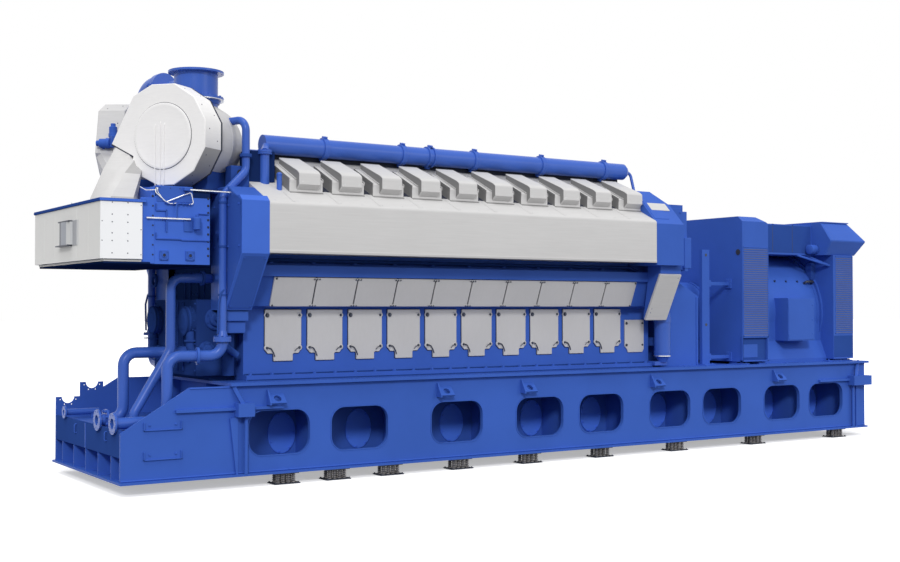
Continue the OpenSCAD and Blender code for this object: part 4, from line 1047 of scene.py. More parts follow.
class GENSET_OT_turbochargers(bpy.types.Operator):
    """Turbochargers: a flat-sided casing with its disc, a strap painted dark as shade and the
    round rear drum
    """

    bl_idname = "genset.turbochargers"
    bl_label = "Turbochargers"

    def execute(self, context):
        for side, outline, body in (
            ("near", DRUM, "pale_casing"), ("far", FAR_DRUM, "grey_casing"),
        ):
            shape, screws = self.casing(outline), self.screws(outline)
            if side == "near":
                shape, screws = shape.mirrored(), screws.mirrored()
            piece(shape, "turbo_casing_" + side, [body, "dark_gap", "drum_shade", "grey_casing"],
                  ["turbo_" + side])
            piece(screws, "turbo_screws_" + side, "dark_steel")
        self.actuators()

        # Thin drain lines that hang in front of the disc.
        lines = Shape()
        for a, b in ((-0.03, 0.14), (0.02, 0.16), (0.09, 0.13)):
            path = bent([drum(a, b, -0.014), drum(a, b - 0.02, -0.024), drum(a, -0.50, -0.024),
                         drum(a * 0.8 + 0.01, -0.60, -0.02)], 0.02, 5)
            pipe(lines, path, 0.005, 6)
        pair(lines, "turbo_drain_lines", "pale_casing")
        return {"FINISHED"}

    def casing(self, outline):
        """Front drum with its disc and raised volute, the strap groove painted dark as shade, and
        the rear drum; its lower facets are painted in shade.
        """
        shape = Shape()
        plate(shape, outline, drum(0, 0, DRUM_L), INWARD, UP, DRUM_L, 0.007, both=True)
        if outline is DRUM:
            # Lower facets, turned from the lamps, painted in shade.
            shape.paint_facing(-0.5 * INWARD - 0.87 * UP, 2)
            # A thin dark band at the drum's back edge, painted as the shadow in the gap to the
            # rear drum.
            shape.paint = 1
            band = inset(outline, -0.0015)
            plate(shape, band, drum(0, 0, DRUM_L + 0.024), INWARD, UP, 0.026, 0.001, both=True)
            shape.paint = 0
        disc = [
            (-0.01, DISC_R - 0.012), (0.002, 0.376), (0.012, 0.374), (0.0155, 0.366),
            (0.014, 0.34), (0.0115, 0.30), (0.0125, 0.24), (0.0115, 0.18), (0.0125, 0.12),
            (0.012, 0.0),
        ]
        turned(shape, disc, TURBO, -ALONG, 72)
        start, end = DRUM_L + 0.05, REAR_END
        shape.paint = 3
        rear = [
            (start, REAR_R - 0.012), (start + 0.006, REAR_R), (start + 0.3, REAR_R),
            (start + 0.306, REAR_R - 0.004), (start + 0.312, REAR_R - 0.001),
            (end - 0.12, REAR_R - 0.045), (end - 0.05, REAR_R - 0.075),
            (end - 0.012, REAR_R - 0.125), (end, REAR_R - 0.17), (end, 0.26),
            (end + 0.004, 0.25), (end + 0.004, 0),
        ]
        turned(shape, rear, TURBO, ALONG, 72)
        # Dark ring round the disc: its groove, painted dark as shade.
        shape.paint = 1
        inner, outer = DISC_R - 0.01, DISC_R - 0.003
        ring_of(shape, [(-0.004, outer), (-0.004, inner), (0.0028, inner), (0.0028, outer)],
                TURBO, -ALONG, 72)
        # Dark strap between the drums, painted dark as the shade there.
        turned(shape, [(DRUM_L - 0.01, REAR_R + 0.004), (start, REAR_R + 0.004)], TURBO, ALONG, 72)
        if outline is DRUM:
            a, b = outline[SEAM], outline[SEAM + 1]
            down = 0.012 * outward(a, b)
            joint = [a + down, b + down, b - 0.5 * down, a - 0.5 * down]
            plate(shape, joint, drum(0, 0, DRUM_L - 0.006), INWARD, UP, DRUM_L - 0.008, 0.001,
                  both=True)
        return shape

    def screws(self, outline):
        """Small heads on the drum's flats, its rear drum and the round end plate."""
        screws = Shape()
        for k, (a, b) in enumerate(zip(outline, np.roll(outline, -1, 0))):
            if k in (2, 3, SEAM):
                continue
            across, up = outward(a, b)
            for share, s in ((0.3, 0.09), (0.7, 0.25)):
                place = drum(*(a + (b - a) * share), s)
                rivets(screws, [place], across * INWARD + up * UP, 0.0075)
        rivets(screws, circle_places(drum(0, 0, REAR_END), ALONG, 0.29, 12), ALONG, 0.014)
        for turn in np.radians(np.arange(15, 375, 45)):
            normal = math.cos(turn) * INWARD + math.sin(turn) * UP
            rivets(screws, [drum(0, 0, DRUM_L + 0.14) + normal * REAR_R], normal, 0.0075)
        return screws

    def actuators(self):
        """Two drives on the far turbocharger's inner flank: one upright and one along its axis."""
        shape = Shape()
        body = [(0, 0.04), (0.01, 0.055), (0.05, 0.055), (0.056, 0.048), (0.13, 0.048),
                (0.14, 0.03), (0.17, 0.03), (0.175, 0.02), (0.175, 0)]
        turned(shape, body, drum(0.56, 0.12, 0.23), UP, 24)
        turned(shape, [(a, 1.15 * r) for a, r in body], drum(0.565, 0.055, 0.2), -ALONG, 24)
        for a, b, s in ((0.52, 0.1, 0.21), (0.52, 0.02, 0.1)):
            straight(shape, drum(a - 0.14, b, s), drum(a + 0.03, b, s), 0.03, 12)
        low, high = drum(0.6, 0.0, 0.24), drum(0.6, 0.14, 0.24)
        block(shape, low - [0.03, 0.05, 0], high + [0.03, 0.05, 0], 0.006)
        piece(shape, "turbo_actuators", "blue_enamel")


DUCT_X0, DUCT_X1 = -2.105, -1.64
DUCT_Z0, DUCT_Z1 = 1.38, 2.01
DUCT_HALF = 1.29
COOLER_X0, COOLER_X1 = -1.531, -0.845
COOLER_Z0, COOLER_Z1 = 1.335, 2.18
COOLER_Y = 1.244
STAND_Z = COOLER_Z1 + 0.028


class GENSET_OT_scroll_ducts(bpy.types.Operator):
    """Scroll ducts: eight-sided ducts from the turbochargers down to the air duct box"""

    bl_idname = "genset.scroll_ducts"
    bl_label = "Scroll ducts"

    def execute(self, context):
        foot_z = DUCT_Z1 + 0.022
        shape = self.duct(DRUM, (DUCT_X0 + 0.06, DUCT_X1 + 0.02, 0.60, 1.17, foot_z))
        # Foot frame on the roof of the duct box.
        block(shape, (DUCT_X0 + 0.05, 0.58, foot_z - 0.002),
              (DUCT_X1 + 0.03, 1.19, foot_z + 0.012), 0.003)
        places = [(DUCT_X0 + 0.062, y, foot_z + 0.012) for y in np.arange(0.62, 1.18, 0.12)]
        bolt_heads(shape, places, UP, 0.014)
        # Faces that lean towards +X and the side, painted in shade.
        shape.paint_facing(unit([0.5, 0.85, -0.1]), 1, 0.6)
        piece(shape.mirrored(), "scroll_duct_near", ["grey_casing", "leg_shade"],
              ["scroll_ducts"])
        x, y0, y1 = COOLER_X0 + 0.03, 0.11, 0.5
        far = self.duct(FAR_DRUM, (x, x + 0.33, y0, y1, STAND_Z))
        block(far, (x - 0.02, y0 - 0.02, STAND_Z - 0.002), (x + 0.36, y1 + 0.02, STAND_Z + 0.01),
              0.003)
        piece(far, "scroll_duct_far", "grey_casing")
        return {"FINISHED"}

    def duct(self, outline, foot):
        """Eight-sided duct: lines from the drum's flat to the foot, cut off at each corner."""
        x0, x1, y0, y1, z = foot
        foot = np.array([(x0, y0, z), (x1, y0, z), (x1, y1, z), (x0, y1, z)])
        start, end = 0.01, DRUM_L - 0.01
        high, low = outline[SEAM + 1], outline[SEAM]
        top = np.array([drum(*high, start), drum(*high, end), drum(*low, end), drum(*low, start)])
        # The foot's corners are turned until they lie nearest to the top's.
        best = min(range(4), key=lambda k: np.linalg.norm(top - np.roll(foot, k, 0)))
        foot = np.roll(foot, best, 0)
        rings = []
        for t, lean in ((0.0, 0.0), (0.4, 0.47), (0.94, 0.97), (1.0, 1.0)):
            corners = top + (foot - top) * lean
            corners[:, 2] = top[:, 2] + (foot[:, 2] - top[:, 2]) * t
            cuts = [corners + 0.2 * (np.roll(corners, k, 0) - corners) for k in (1, -1)]
            rings.append(np.stack(cuts, 1).reshape(8, 3))
        shape = Shape()
        loft(shape, rings)
        return shape


# Middle of the exhaust outlet, over the near turbocharger's rear drum.
OUTLET = TURBO * [1, -1, 0] + 0.66 * np.array([math.cos(YAW), math.sin(YAW), 0.0])
OUTLET_Z = TURBO[2] + 0.505


class GENSET_OT_exhaust_fittings(bpy.types.Operator):
    """Exhaust fittings: gasket and bolts of the outlet, bolts and clamps of the crossing duct"""

    bl_idname = "genset.exhaust_fittings"
    bl_label = "Exhaust fittings"

    def execute(self, context):
        shape = Shape()
        low = OUTLET + UP * OUTLET_Z
        shape.paint = 1
        gasket = [(-0.012, 0.2), (0.0, 0.2), (0.0, 0.3235), (-0.003, 0.326), (-0.009, 0.326),
                  (-0.012, 0.3235)]
        ring_of(shape, gasket, low, UP, 72)
        shape.paint = 0
        bolt_circle(shape, low + UP * 0.025, UP, 0.3, 20, 0.026)
        ring_of(shape, [(-0.05, 0.2), (-0.012, 0.2), (-0.012, 0.29), (-0.05, 0.27)], low, UP, 72)
        # Crossing duct: bolts round its base flange, clamps on its joint.
        start = OUTLET * [1, -1, 0] + [-0.155, 0.085, 0]
        bolt_circle(shape, start + UP * (TURBO[2] + REAR_R + 0.024), UP, 0.17, 12, 0.024)
        run = unit(OUTLET - start)
        joint = start + 0.34 * (OUTLET - start) + UP * 3.56
        for side in (-np.cross(UP, run), np.cross(UP, run)):
            ear = joint + side * 0.165
            for along in (-0.049, 0.035):
                button(shape, 0.03, 0.014, ear + run * along, run, 10)
            bolt = ear + side * 0.012
            straight(shape, bolt - run * 0.07, bolt + run * 0.07, 0.009, 8)
        piece(shape, "exhaust_fittings", ["blue_pipe", "bright_steel"])
        return {"FINISHED"}


# ---- Cooler and air duct box ----

def on_cooler(share_x, share_z, out=0.0):
    """Place on the cooler's side: shares of its length and height, and a distance out."""
    x = COOLER_X0 + share_x * (COOLER_X1 - COOLER_X0)
    return np.array([x, COOLER_Y + out, COOLER_Z0 + share_z * (COOLER_Z1 - COOLER_Z0)])


class GENSET_OT_cooler_details(bpy.types.Operator):
    """Charge cooler side: bolted cover, angle strips, square flanges, gauge and thin lines"""

    bl_idname = "genset.cooler_details"
    bl_label = "Charge cooler details"

    def execute(self, context):
        shape, dark, pale = Shape(), Shape(), Shape()
        for a, count in ((0.03, 7), (0.97, 9)):
            bolt_heads(dark, [on_cooler(a, b) for b in np.linspace(0.12, 0.88, count)], OUT, 0.017)
        # Angle strips: a bent one above and a long one below.
        for a0, b0, a1, b1 in (
            (0.075, 0.705, 0.09, 0.79), (0.075, 0.69, 0.26, 0.71), (0.245, 0.42, 0.265, 0.71),
            (0.075, 0.335, 0.09, 0.41), (0.075, 0.32, 0.5, 0.338), (0.5, 0.31, 0.99, 0.326),
            (0.80, 0.665, 0.97, 0.68), (0.54, 0.9, 0.555, 0.99),
        ):
            block(shape, on_cooler(a0, b0), on_cooler(a1, b1, 0.02), 0.002)
        # Two square flanges with a round hole in each.
        for a in (0.215, 0.655):
            at = on_cooler(a, 0.115)
            flat = rectangle(-0.05, -0.055, 0.05, 0.055, 0.006)
            plate(shape, flat, at, -RIGHT, UP, 0.018, 0.003)
            lip = [(0.016, 0.018), (0.026, 0.018), (0.026, 0.026), (0.016, 0.028)]
            ring_of(shape, lip, at, OUT, 24)
            # The hole is a dark disc, painted as the shade inside it.
            turned(dark, [(0.017, 0.019), (0.0195, 0.019), (0.0195, 0)], at, OUT, 24)
            bolts = [at + [x, 0.018, z] for x in (-0.036, 0.036) for z in (-0.04, 0.04)]
            bolt_heads(shape, bolts, OUT, 0.012)
        # Bar across the cover, its riser, and the gauge with its bracket.
        for line, ends, radius in (
            (pale, ((-0.09, 0.595), (0.65, 0.595)), 0.009),
            (shape, ((0.41, 0.595), (0.41, 0.80)), 0.008),
        ):
            straight(line, *[on_cooler(a, b, 0.035) for a, b in ends], radius, 10)
        for a in (-0.05, 0.2, 0.62):
            at = on_cooler(a, 0.595)
            block(shape, at - [0.012, 0, 0.014], at + [0.012, 0.034, 0.014], 0.002)
        at = on_cooler(0.745, 0.5, 0.06)
        gauge = [(0, 0.03), (0.008, 0.044), (0.13, 0.044), (0.14, 0.036), (0.14, 0.018),
                 (0.17, 0.018), (0.17, 0)]
        turned(shape, gauge, at - UP * 0.04, UP, 28)
        blocks(
            shape, 0.003, (at - [0.02, 0.062, 0.0], at + [0.02, 0, 0.05]),
            (on_cooler(0.55, 0.43), on_cooler(0.7, 0.62, 0.012)),
        )
        # Manifold row of small valves and the thin pale lines up to the turbocharger.
        for a in (0.26, 0.36, 0.44, 0.52, 0.58, 0.64):
            valve = [(-0.022, 0.012), (0.014, 0.012), (0.014, 0.006), (0.022, 0.006), (0.022, 0)]
            turned(shape, valve, on_cooler(a, 0.795, 0.02), OUT, 10)
        straight(shape, on_cooler(0.22, 0.8, 0.014), on_cooler(0.68, 0.795, 0.014), 0.008, 8)
        start = drum(-0.01, -0.60, -0.02)
        for radius, first, corners in (
            (0.0055, [start], (
                (0.07, 0.99), (0.06, 0.93), (0.24, 0.81), (0.53, 0.91), (0.66, 0.95), (0.7, 0.8),
                (0.62, 0.79),
            )),
            (0.0055, [start + [0.03, 0, 0]], (
                (0.09, 0.99), (0.1, 0.93), (0.2, 0.83), (0.3, 0.79), (0.42, 0.8),
            )),
            (0.005, [], ((0.07, 0.96), (-0.1, 0.95), (-0.2, 0.99))),
        ):
            line = first + [on_cooler(a, b, 0.03) for a, b in corners]
            pipe(pale, bent(line, 0.02, 5), radius, 6)
        # Upper step of the cooler with its round hole, and the bracket of the pipe to the riser.
        step_x0, step_x1, step_y = -1.47, -1.05, COOLER_Y + 0.004
        block(shape, (step_x0, 1.13, COOLER_Z1 - 0.16), (step_x1, step_y, COOLER_Z1 + 0.02))
        # The step's hole is a dark disc, painted as the shade inside it.
        button(dark, 0.014, 0.0015, (-1.12, step_y, 2.16), OUT, 20)
        rivets(dark, [(x, step_y, 2.175) for x in (-1.43, -1.31, -1.2)], OUT, 0.006)
        block(shape, on_cooler(0.53, 0.965), on_cooler(0.63, 1.01, 0.06))
        straight(pale, on_cooler(0.6, 0.985, 0.035), (-0.60, 1.275, 2.16), 0.009, 10)
        pair(shape, "cooler_details", "blue_enamel")
        # Strip at the joint to the duct box, painted lighter as painted light, and dark lines
        # along the step and the foot, painted navy as shadow.
        strip = Shape()
        block(strip, (DUCT_X1 + 0.002, COOLER_Y - 0.05, COOLER_Z0 + 0.003),
              (COOLER_X0 + 0.044, COOLER_Y + 0.006, DUCT_Z1 + 0.05))
        strip.paint = 1
        blocks(
            strip, 0.001,
            *[((x0, COOLER_Y - 0.02, COOLER_Z1 - 0.1), (x1, COOLER_Y + 0.002, COOLER_Z1 + 0.001))
              for x0, x1 in ((COOLER_X0 + 0.046, step_x0 - 0.002), (step_x1 + 0.002, COOLER_X1))],
            ((COOLER_X0 - 0.01, 0.003, COOLER_Z0 - 0.002),
             (COOLER_X1, COOLER_Y - 0.004, COOLER_Z0 + 0.004)),
        )
        pair(strip, "cooler_edge_strip", ["blue_front", "navy"])
        pair(dark, "cooler_bolts", "dark_gap")
        pair(pale, "cooler_lines", "bright_steel")
        return {"FINISHED"}


class GENSET_OT_air_duct_details(bpy.types.Operator):
    """Air duct box: rivet rows, folded edges and the blank hatch between two rails"""

    bl_idname = "genset.air_duct_details"
    bl_label = "Air duct details"

    def execute(self, context):
        heads = Shape()
        for a, radius, shares in (
            (0.28, 0.0075, (0.1, 0.31, 0.44, 0.63, 0.76, 0.965)),
            (0.65, 0.0075, (0.1, 0.31, 0.44, 0.63, 0.76, 0.965)),
            (0.045, 0.0065, (0.31, 0.64)), (0.965, 0.0065, (0.08, 0.51, 0.93)),
        ):
            x = DUCT_X0 + a * (DUCT_X1 - DUCT_X0)
            places = [(x, DUCT_HALF, DUCT_Z0 + b * (DUCT_Z1 - DUCT_Z0)) for b in shares]
            rivets(heads, places, OUT, radius)
        pair(heads, "air_duct_rivets", "dark_steel")
        # Blue roof sheet with its folded edge, painted in shade, with its near face painted
        # lighter as painted light.
        sheet = Shape()
        block(sheet, (DUCT_X0 - 0.0135, -DUCT_HALF - 0.0135, DUCT_Z1 - 0.012),
              (DUCT_X1 + 0.041, DUCT_HALF + 0.0135, DUCT_Z1 + 0.0235))
        sheet.paint_facing(-OUT, 1)
        piece(sheet, "air_duct_roof", ["blue_shade", "blue_front"])
        # The box, its step down to the cooler's foot and the sill under that: the box's -X face
        # and the step are painted in shade, the sill and all faces that look down painted navy as
        # shadow.
        casing = Shape()
        block(casing, (DUCT_X0, -DUCT_HALF, DUCT_Z0), (DUCT_X1, DUCT_HALF, DUCT_Z1))
        casing.paint_facing(-RIGHT, 1, 0.9)
        for casing.paint, start, end, side, low, high in (
            (1, DUCT_X0 + 0.043, DUCT_X1, DUCT_HALF - 0.03, COOLER_Z0 + 0.02, DUCT_Z0),
            (2, DUCT_X0 + 0.05, DUCT_X1 + 0.1, DUCT_HALF - 0.035, COOLER_Z0, COOLER_Z0 + 0.021),
        ):
            block(casing, (start, -side, low), (end, side, high), 0.003)
        casing.paint_facing(-UP, 2, 0.9)
        piece(casing, "air_duct_casing", ["white_paint", "duct_shade", "navy"],
              ["air_duct_box"])
        # Hatch: a shallow box with a bowed front between two dark rails; three greys across the
        # front paint its light and shade, darkest on the far side, a grey patch beside it paints
        # its shadow and a pale strip beyond the patch paints where that shadow fades out.
        hatch = Shape()
        x, z0, z1 = DUCT_X0 - 0.06, DUCT_Z0 + 0.19, DUCT_Z0 + 0.45
        for hatch.paint, start, end in ((1, 0.3, 1.0), (2, -0.55, 0.3), (3, -1.0, -0.55)):
            t = np.linspace(start, end, 9)
            y = 0.21 * np.append(t, t[::-1]) - 0.1
            bow = np.append(x + 0.026 * t * t, np.full(9, x + 0.061))
            loft(hatch, [np.column_stack([bow, y, np.full(18, z)]) for z in (z0, z1)])
        for hatch.paint, bevel, start, end, low, high in (
            (4, 0.002, (0.002, -0.305), (0.06, 0.09), z1, z1 + 0.014),
            (4, 0.002, (0.002, -0.28), (0.06, 0.2), z0 - 0.014, z0),
            (5, 0.001, (0.054, -0.46), (0.0612, -0.3), z0 - 0.012, z1 + 0.012),
            (3, 0.001, (0.0555, -0.52), (0.0606, -0.45), z0 - 0.012, z1 + 0.012),
        ):
            block(hatch, (x + start[0], start[1], low), (x + end[0], end[1], high), bevel)
        piece(hatch, "air_duct_hatch", [
            "white_paint", "hatch_dark", "hatch_grey", "hatch_pale", "dark_steel", "hatch_shade",
        ])
        seams = Shape()
        blocks(seams, 0.0005, *[
            ((DUCT_X0 - 0.0015, y - 0.012, DUCT_Z0 + 0.04),
             (DUCT_X0 + 0.001, y + 0.012, DUCT_Z1 - 0.005))
            for y in (-0.86, -0.43, 0.43, 0.86)
        ])
        piece(seams, "air_duct_seams", "duct_shade")
        return {"FINISHED"}


# ---- Pipes and pumps ----

PIPE_FACE = -1.885
LOW_PIPE_Z = -0.41
FRONT_X = -0.78
PUMP_TOP_X = -0.52
PUMP_STEP_Z = 0.95
PUMP_Y = 0.69


class GENSET_OT_pipe_fittings(bpy.types.Operator):
    """Pipe fittings: flange bolts, reducers, clamps, pumps and small lines at the free end"""

    bl_idname = "genset.pipe_fittings"
    bl_label = "Pipe fittings"

    def execute(self, context):
        shape = Shape()
        # Bolts on both faces of the return pipe's flanges, and a weld ring behind each flange.
        at = np.array([PIPE_FACE + 0.095, -0.5, LOW_PIPE_Z])
        bolt_circle(shape, at + RIGHT * 0.022, RIGHT, 0.1, 8, 0.026)
        bolt_circle(shape, at, -RIGHT, 0.1, 8, 0.026)
        for y, r in ((-1.04, 0.0635), (-0.5, 0.0635), (0.78, 0.038)):
            section = [(0.022, r - 0.002), (0.034, r - 0.002), (0.022, r + 0.009)]
            ring_of(shape, section, (PIPE_FACE, y, LOW_PIPE_Z), RIGHT, 32)
        # Frame of the pipe end plate: stiffening strip and handles.
        block(shape, (-1.862, -0.012, FLOOR + 0.425), (-1.853, 0.012, FLOOR + 0.71), 0.002)
        for y in (-0.77, 0.35):
            grip = [(-1.855, y, -0.62), (-1.88, y, -0.62), (-1.88, y, -0.52), (-1.855, y, -0.52)]
            pipe(shape, bent(grip, 0.015, 4), 0.007, 6)
        # Clamp ring on the level run next to the riser.
        hoop(shape, -0.014, 0.014, 0.06, 0.1, (-0.93, -1.106, 0.31), (0.607, -0.12, 0), 32)
        piece(shape, "pipe_end_fittings", "blue_enamel")

        # Fittings on both sides: flange pair under the riser, its bolts, clamps and the pump, all
        # painted in shade.
        shape = Shape()
        riser = np.array([-0.655, 1.16, 0.5])
        bolt_circle(shape, riser + UP * 0.024, UP, 0.085, 8, 0.02)
        bolt_circle(shape, riser - UP * 0.03, -UP, 0.085, 8, 0.02)
        for z in (1.0, 1.55, 2.05):
            hoop(shape, -0.012, 0.012, 0.045, 0.052, riser * [1, 1, 0] + UP * z, UP, 32)
        section = [(-0.02, 0.045), (0.02, 0.045), (0.02, 0.066), (0.015, 0.07), (-0.015, 0.07),
                   (-0.02, 0.066)]
        ring_of(shape, section, (-0.33, 1.06, 2.62), UP, 32)
        # Thin line beside the riser.
        line = [(-0.72, 1.18, 0.56), (-0.72, 1.2, 0.9), (-0.69, 1.2, 1.02), (-0.655, 1.2, 1.06)]
        pipe(shape, bent(line, 0.05), 0.012, 8)
        # Pump: volute, its neck with a flange, and the cover's bolts.
        centre = np.array([FRONT_X, 0.53, 0.7])
        volute = [(0, 0.16), (0.03, 0.165), (0.035, 0.15), (0.055, 0.15), (0.06, 0.17),
                  (0.08, 0.172), (0.1, 0.15), (0.105, 0.1), (0.112, 0.09), (0.112, 0)]
        turned(shape, volute, centre, -RIGHT, 40)
        bolt_circle(shape, centre - RIGHT * 0.03, -RIGHT, 0.172, 10, 0.016)
        neck = centre + [(-0.04, 0.08, -0.12), (-0.04, 0.08, -0.34), (0.1, 0.08, -0.4)]
        pipe(shape, bent(neck, 0.08), 0.05, 20)
        hoop(shape, 0, 0.02, 0.04, 0.075, centre + [-0.04, 0.08, -0.24], UP, 28)
        turned(shape, [(0, 0.09), (0.03, 0.09), (0.04, 0.06), (0.09, 0.055), (0.09, 0)],
               (FRONT_X, 0.5, 0.3), -RIGHT, 32)
        # Side of the pump case: round covers, an elbow to the crankcase and small brackets.
        for x, z, r in ((-0.55, 0.72, 0.13), (-0.5, 1.1, 0.09), (-0.66, 0.36, 0.1)):
            at = np.array([x, PUMP_Y, z])
            turned(shape, [(0, r), (0.02, r), (0.03, r * 0.93), (0.035, r * 0.7), (0.07, r * 0.62),
                           (0.08, r * 0.5), (0.08, 0)], at, OUT, 36)
            bolt_circle(shape, at + OUT * 0.03, OUT, r * 0.84, 8, 0.016)
        small = [(-0.55, 0.76, 0.72), (-0.55, 0.86, 0.72), (-0.5, 0.9, 0.4), (-0.36, 0.9, 0.3)]
        pipe(shape, bent(small, 0.07), 0.04, 16)
        hoop(shape, -0.014, 0.014, 0.056, 0.085, (-0.75, 0.784, 1.196), RIGHT, 28)
        block(shape, (-0.47, 0.86, 0.56), (-0.27, 0.9, 0.82))
        # Ribs and bolts on the pump case's front.
        for y in (0.12, 0.3):
            for x, low, high in (
                (FRONT_X, 0.1, PUMP_STEP_Z - 0.03), (PUMP_TOP_X, PUMP_STEP_Z, 1.3)
            ):
                block(shape, (x - 0.02, y, low), (x + 0.002, y + 0.014, high), 0.003)
        for x, heights in ((FRONT_X, np.linspace(0.12, 0.9, 6)), (PUMP_TOP_X, (1.02, 1.15, 1.28))):
            bolt_heads(shape, [(x, y, z) for y in (0.06, 0.66) for z in heights], -RIGHT, 0.02)
        pair(shape, "pump_fittings", "blue_shade")
        return {"FINISHED"}


# ---- End covers of the engine ----

COVER_X0, COVER_X1 = -0.604, -0.268
DRIVE_X1 = BANK + 0.485
SIDE_Y = HOT_HALF


class GENSET_OT_free_end_covers(bpy.types.Operator):
    """Free-end covers: sloped casing with raised panels, a post and corner bolts"""

    bl_idname = "genset.free_end_covers"
    bl_label = "Free-end covers"

    def execute(self, context):
        shape = Shape()
        face_y, low_y, low_z, fold_z = SIDE_Y - 0.01, 1.1, 0.829, 1.463
        top_z = roof(1.18) + 0.004
        outline = [(0.7, low_z), (low_y, low_z), (face_y, fold_z), (face_y, 2.06), (1.18, top_z),
                   (0.7, top_z)]
        beam(shape, outline, COVER_X0, COVER_X1 - COVER_X0, 0.008)
        # Raised panel on the upright face and one on the slope under it.
        flat = rectangle(COVER_X0 + 0.05, 1.50, COVER_X1 - 0.012, 2.045, 0.01)
        panel(shape, flat, (0, face_y - 0.0001, 0), UP, 0.01, 0.003)
        rise = unit([0, face_y - low_y, fold_z - low_z])
        long = math.hypot(face_y - low_y, fold_z - low_z)
        flat = rectangle(COVER_X0 + 0.03, 0.03, COVER_X1 - 0.02, long - 0.03, 0.01)
        panel(shape, flat, (0, low_y, low_z), rise, 0.008, 0.003)
        face = np.cross(-RIGHT, rise)
        places = [(x, low_y, low_z) + rise * s + face * 0.008
                  for x in (COVER_X0 + 0.05, COVER_X1 - 0.04) for s in (0.06, long - 0.06)]
        bolt_heads(shape, places, face, 0.014)
        # Post under the cover with its foot plate.
        block(shape, (COVER_X0 + 0.02, 0.95, 0.70), (COVER_X1 - 0.02, 1.06, 0.83), 0.005)
        block(shape, (COVER_X0 + 0.06, 0.88, 0.56), (COVER_X1 - 0.04, 1.02, 0.70), 0.006)
        # Bolts on the front of the cover.
        places = [(COVER_X0, y, z) for y in (0.8, 1.2, 1.5) for z in (1.55, 2.02)]
        bolt_heads(shape, places, -RIGHT, 0.018)
        pair(shape, "free_end_casing", "blue_enamel")
        return {"FINISHED"}


class GENSET_OT_drive_end_details(bpy.types.Operator):
    """Driving end: blank plates on the covers, panels, rail, wedge door and housing bolts"""

    bl_idname = "genset.drive_end_details"
    bl_label = "Driving end details"

    def execute(self, context):
        shape, white, dark = Shape(), Shape(), Shape()
        # Blank plate on the slope, and a lap joint above it.
        slope = unit([0, -1, 1])
        origin = (0, SIDE_Y, 2.02) + slope * 0.1
        flat = rectangle(-(BANK + 0.4), 0.18, -(BANK + 0.06), 0.33, 0.004)
        plate(white, flat, origin, -RIGHT, slope, 0.009, 0.001)
        flat = rectangle(-(DRIVE_X1 - 0.21), 0.0, -(HOT_X1 + 0.03), 0.47, 0.01)
        plate(shape, flat, origin, -RIGHT, slope, 0.006, 0.002)
        # The long slanted white plate on the wedge.
        low, high = np.array([BANK + 0.13, 1.152, 0.707]), np.array([BANK + 0.13, 1.46, 1.33])
        rise = unit(high - low)
        out = np.cross(-RIGHT, rise)
        tall = float(np.linalg.norm(high - low))
        plate(white, rectangle(-0.4, -0.02, 0, tall, 0.006), low, -RIGHT, rise, 0.034, 0.005)
        screws = ((0.05, 0.1), (0.05, 0.16), (0.35, tall - 0.05))
        rivets(dark, [low + RIGHT * a + rise * b + out * 0.034 for a, b in screws], out, 0.007)
        # Rail tube under the hot box, with clips and a bend at each end.
        rail = [(-0.2, 1.02, 1.30), (-0.12, 1.02, 1.40), (0.1, 1.04, 1.415),
                (BANK - 0.05, 1.04, 1.415), (BANK + 0.1, 1.1, 1.34)]
        pipe(dark, bent(rail, 0.06), 0.024, 12)
        for x in PITCH * np.arange(CYLINDERS + 1):
            block(shape, (x - 0.02, NECK_Y - 0.004, 1.38), (x + 0.02, 1.068, 1.395), 0.003)
        # Bolts and covers on the gear housing.
        places = [(BANK + 0.79, 1.18, z) for z in np.arange(1.46, 2.3, 0.16)]
        bolt_heads(shape, places, RIGHT, 0.024)
        block(shape, (BANK + 0.5, 1.2395, 1.44), (BANK + 0.76, 1.247, 2.28), 0.004)
        places = [(BANK + x, 1.247, z) for x in (0.53, 0.73) for z in np.linspace(1.5, 2.22, 4)]
        bolt_heads(shape, places, OUT, 0.02)
        block(shape, (BANK + 0.78, 1.2, 1.42), (BANK + 0.91, 1.292, 1.86), 0.005)
        block(shape, (BANK + 0.78, 1.0, 1.42), (BANK + 0.88, 1.235, 2.24), 0.005)
        # Wide flange joint of the flywheel housing.
        wheel_y = WALL_Y + DOOR_T
        low_y = wheel_y - 0.03
        block(shape, (BANK + 0.655, low_y, 0.0), (BANK + 0.685, wheel_y + 0.022, 1.26), 0.004)
        places = [(BANK + 0.655, wheel_y - 0.004, z) for z in np.linspace(0.08, 1.18, 12)]
        bolt_heads(shape, places, -RIGHT, 0.02)
        block(shape, (BANK + 1.39, low_y, 0.0), (BANK + 1.425, wheel_y + 0.014, 1.01), 0.004)
        pair(shape, "drive_end_details", "blue_enamel")
        pair(white, "drive_end_plates", "grey_casing")
        # The rail tube and the wedge plate's screws take the blue painted in deep shade.
        pair(dark, "engine_rail", "rail_blue")
        return {"FINISHED"}


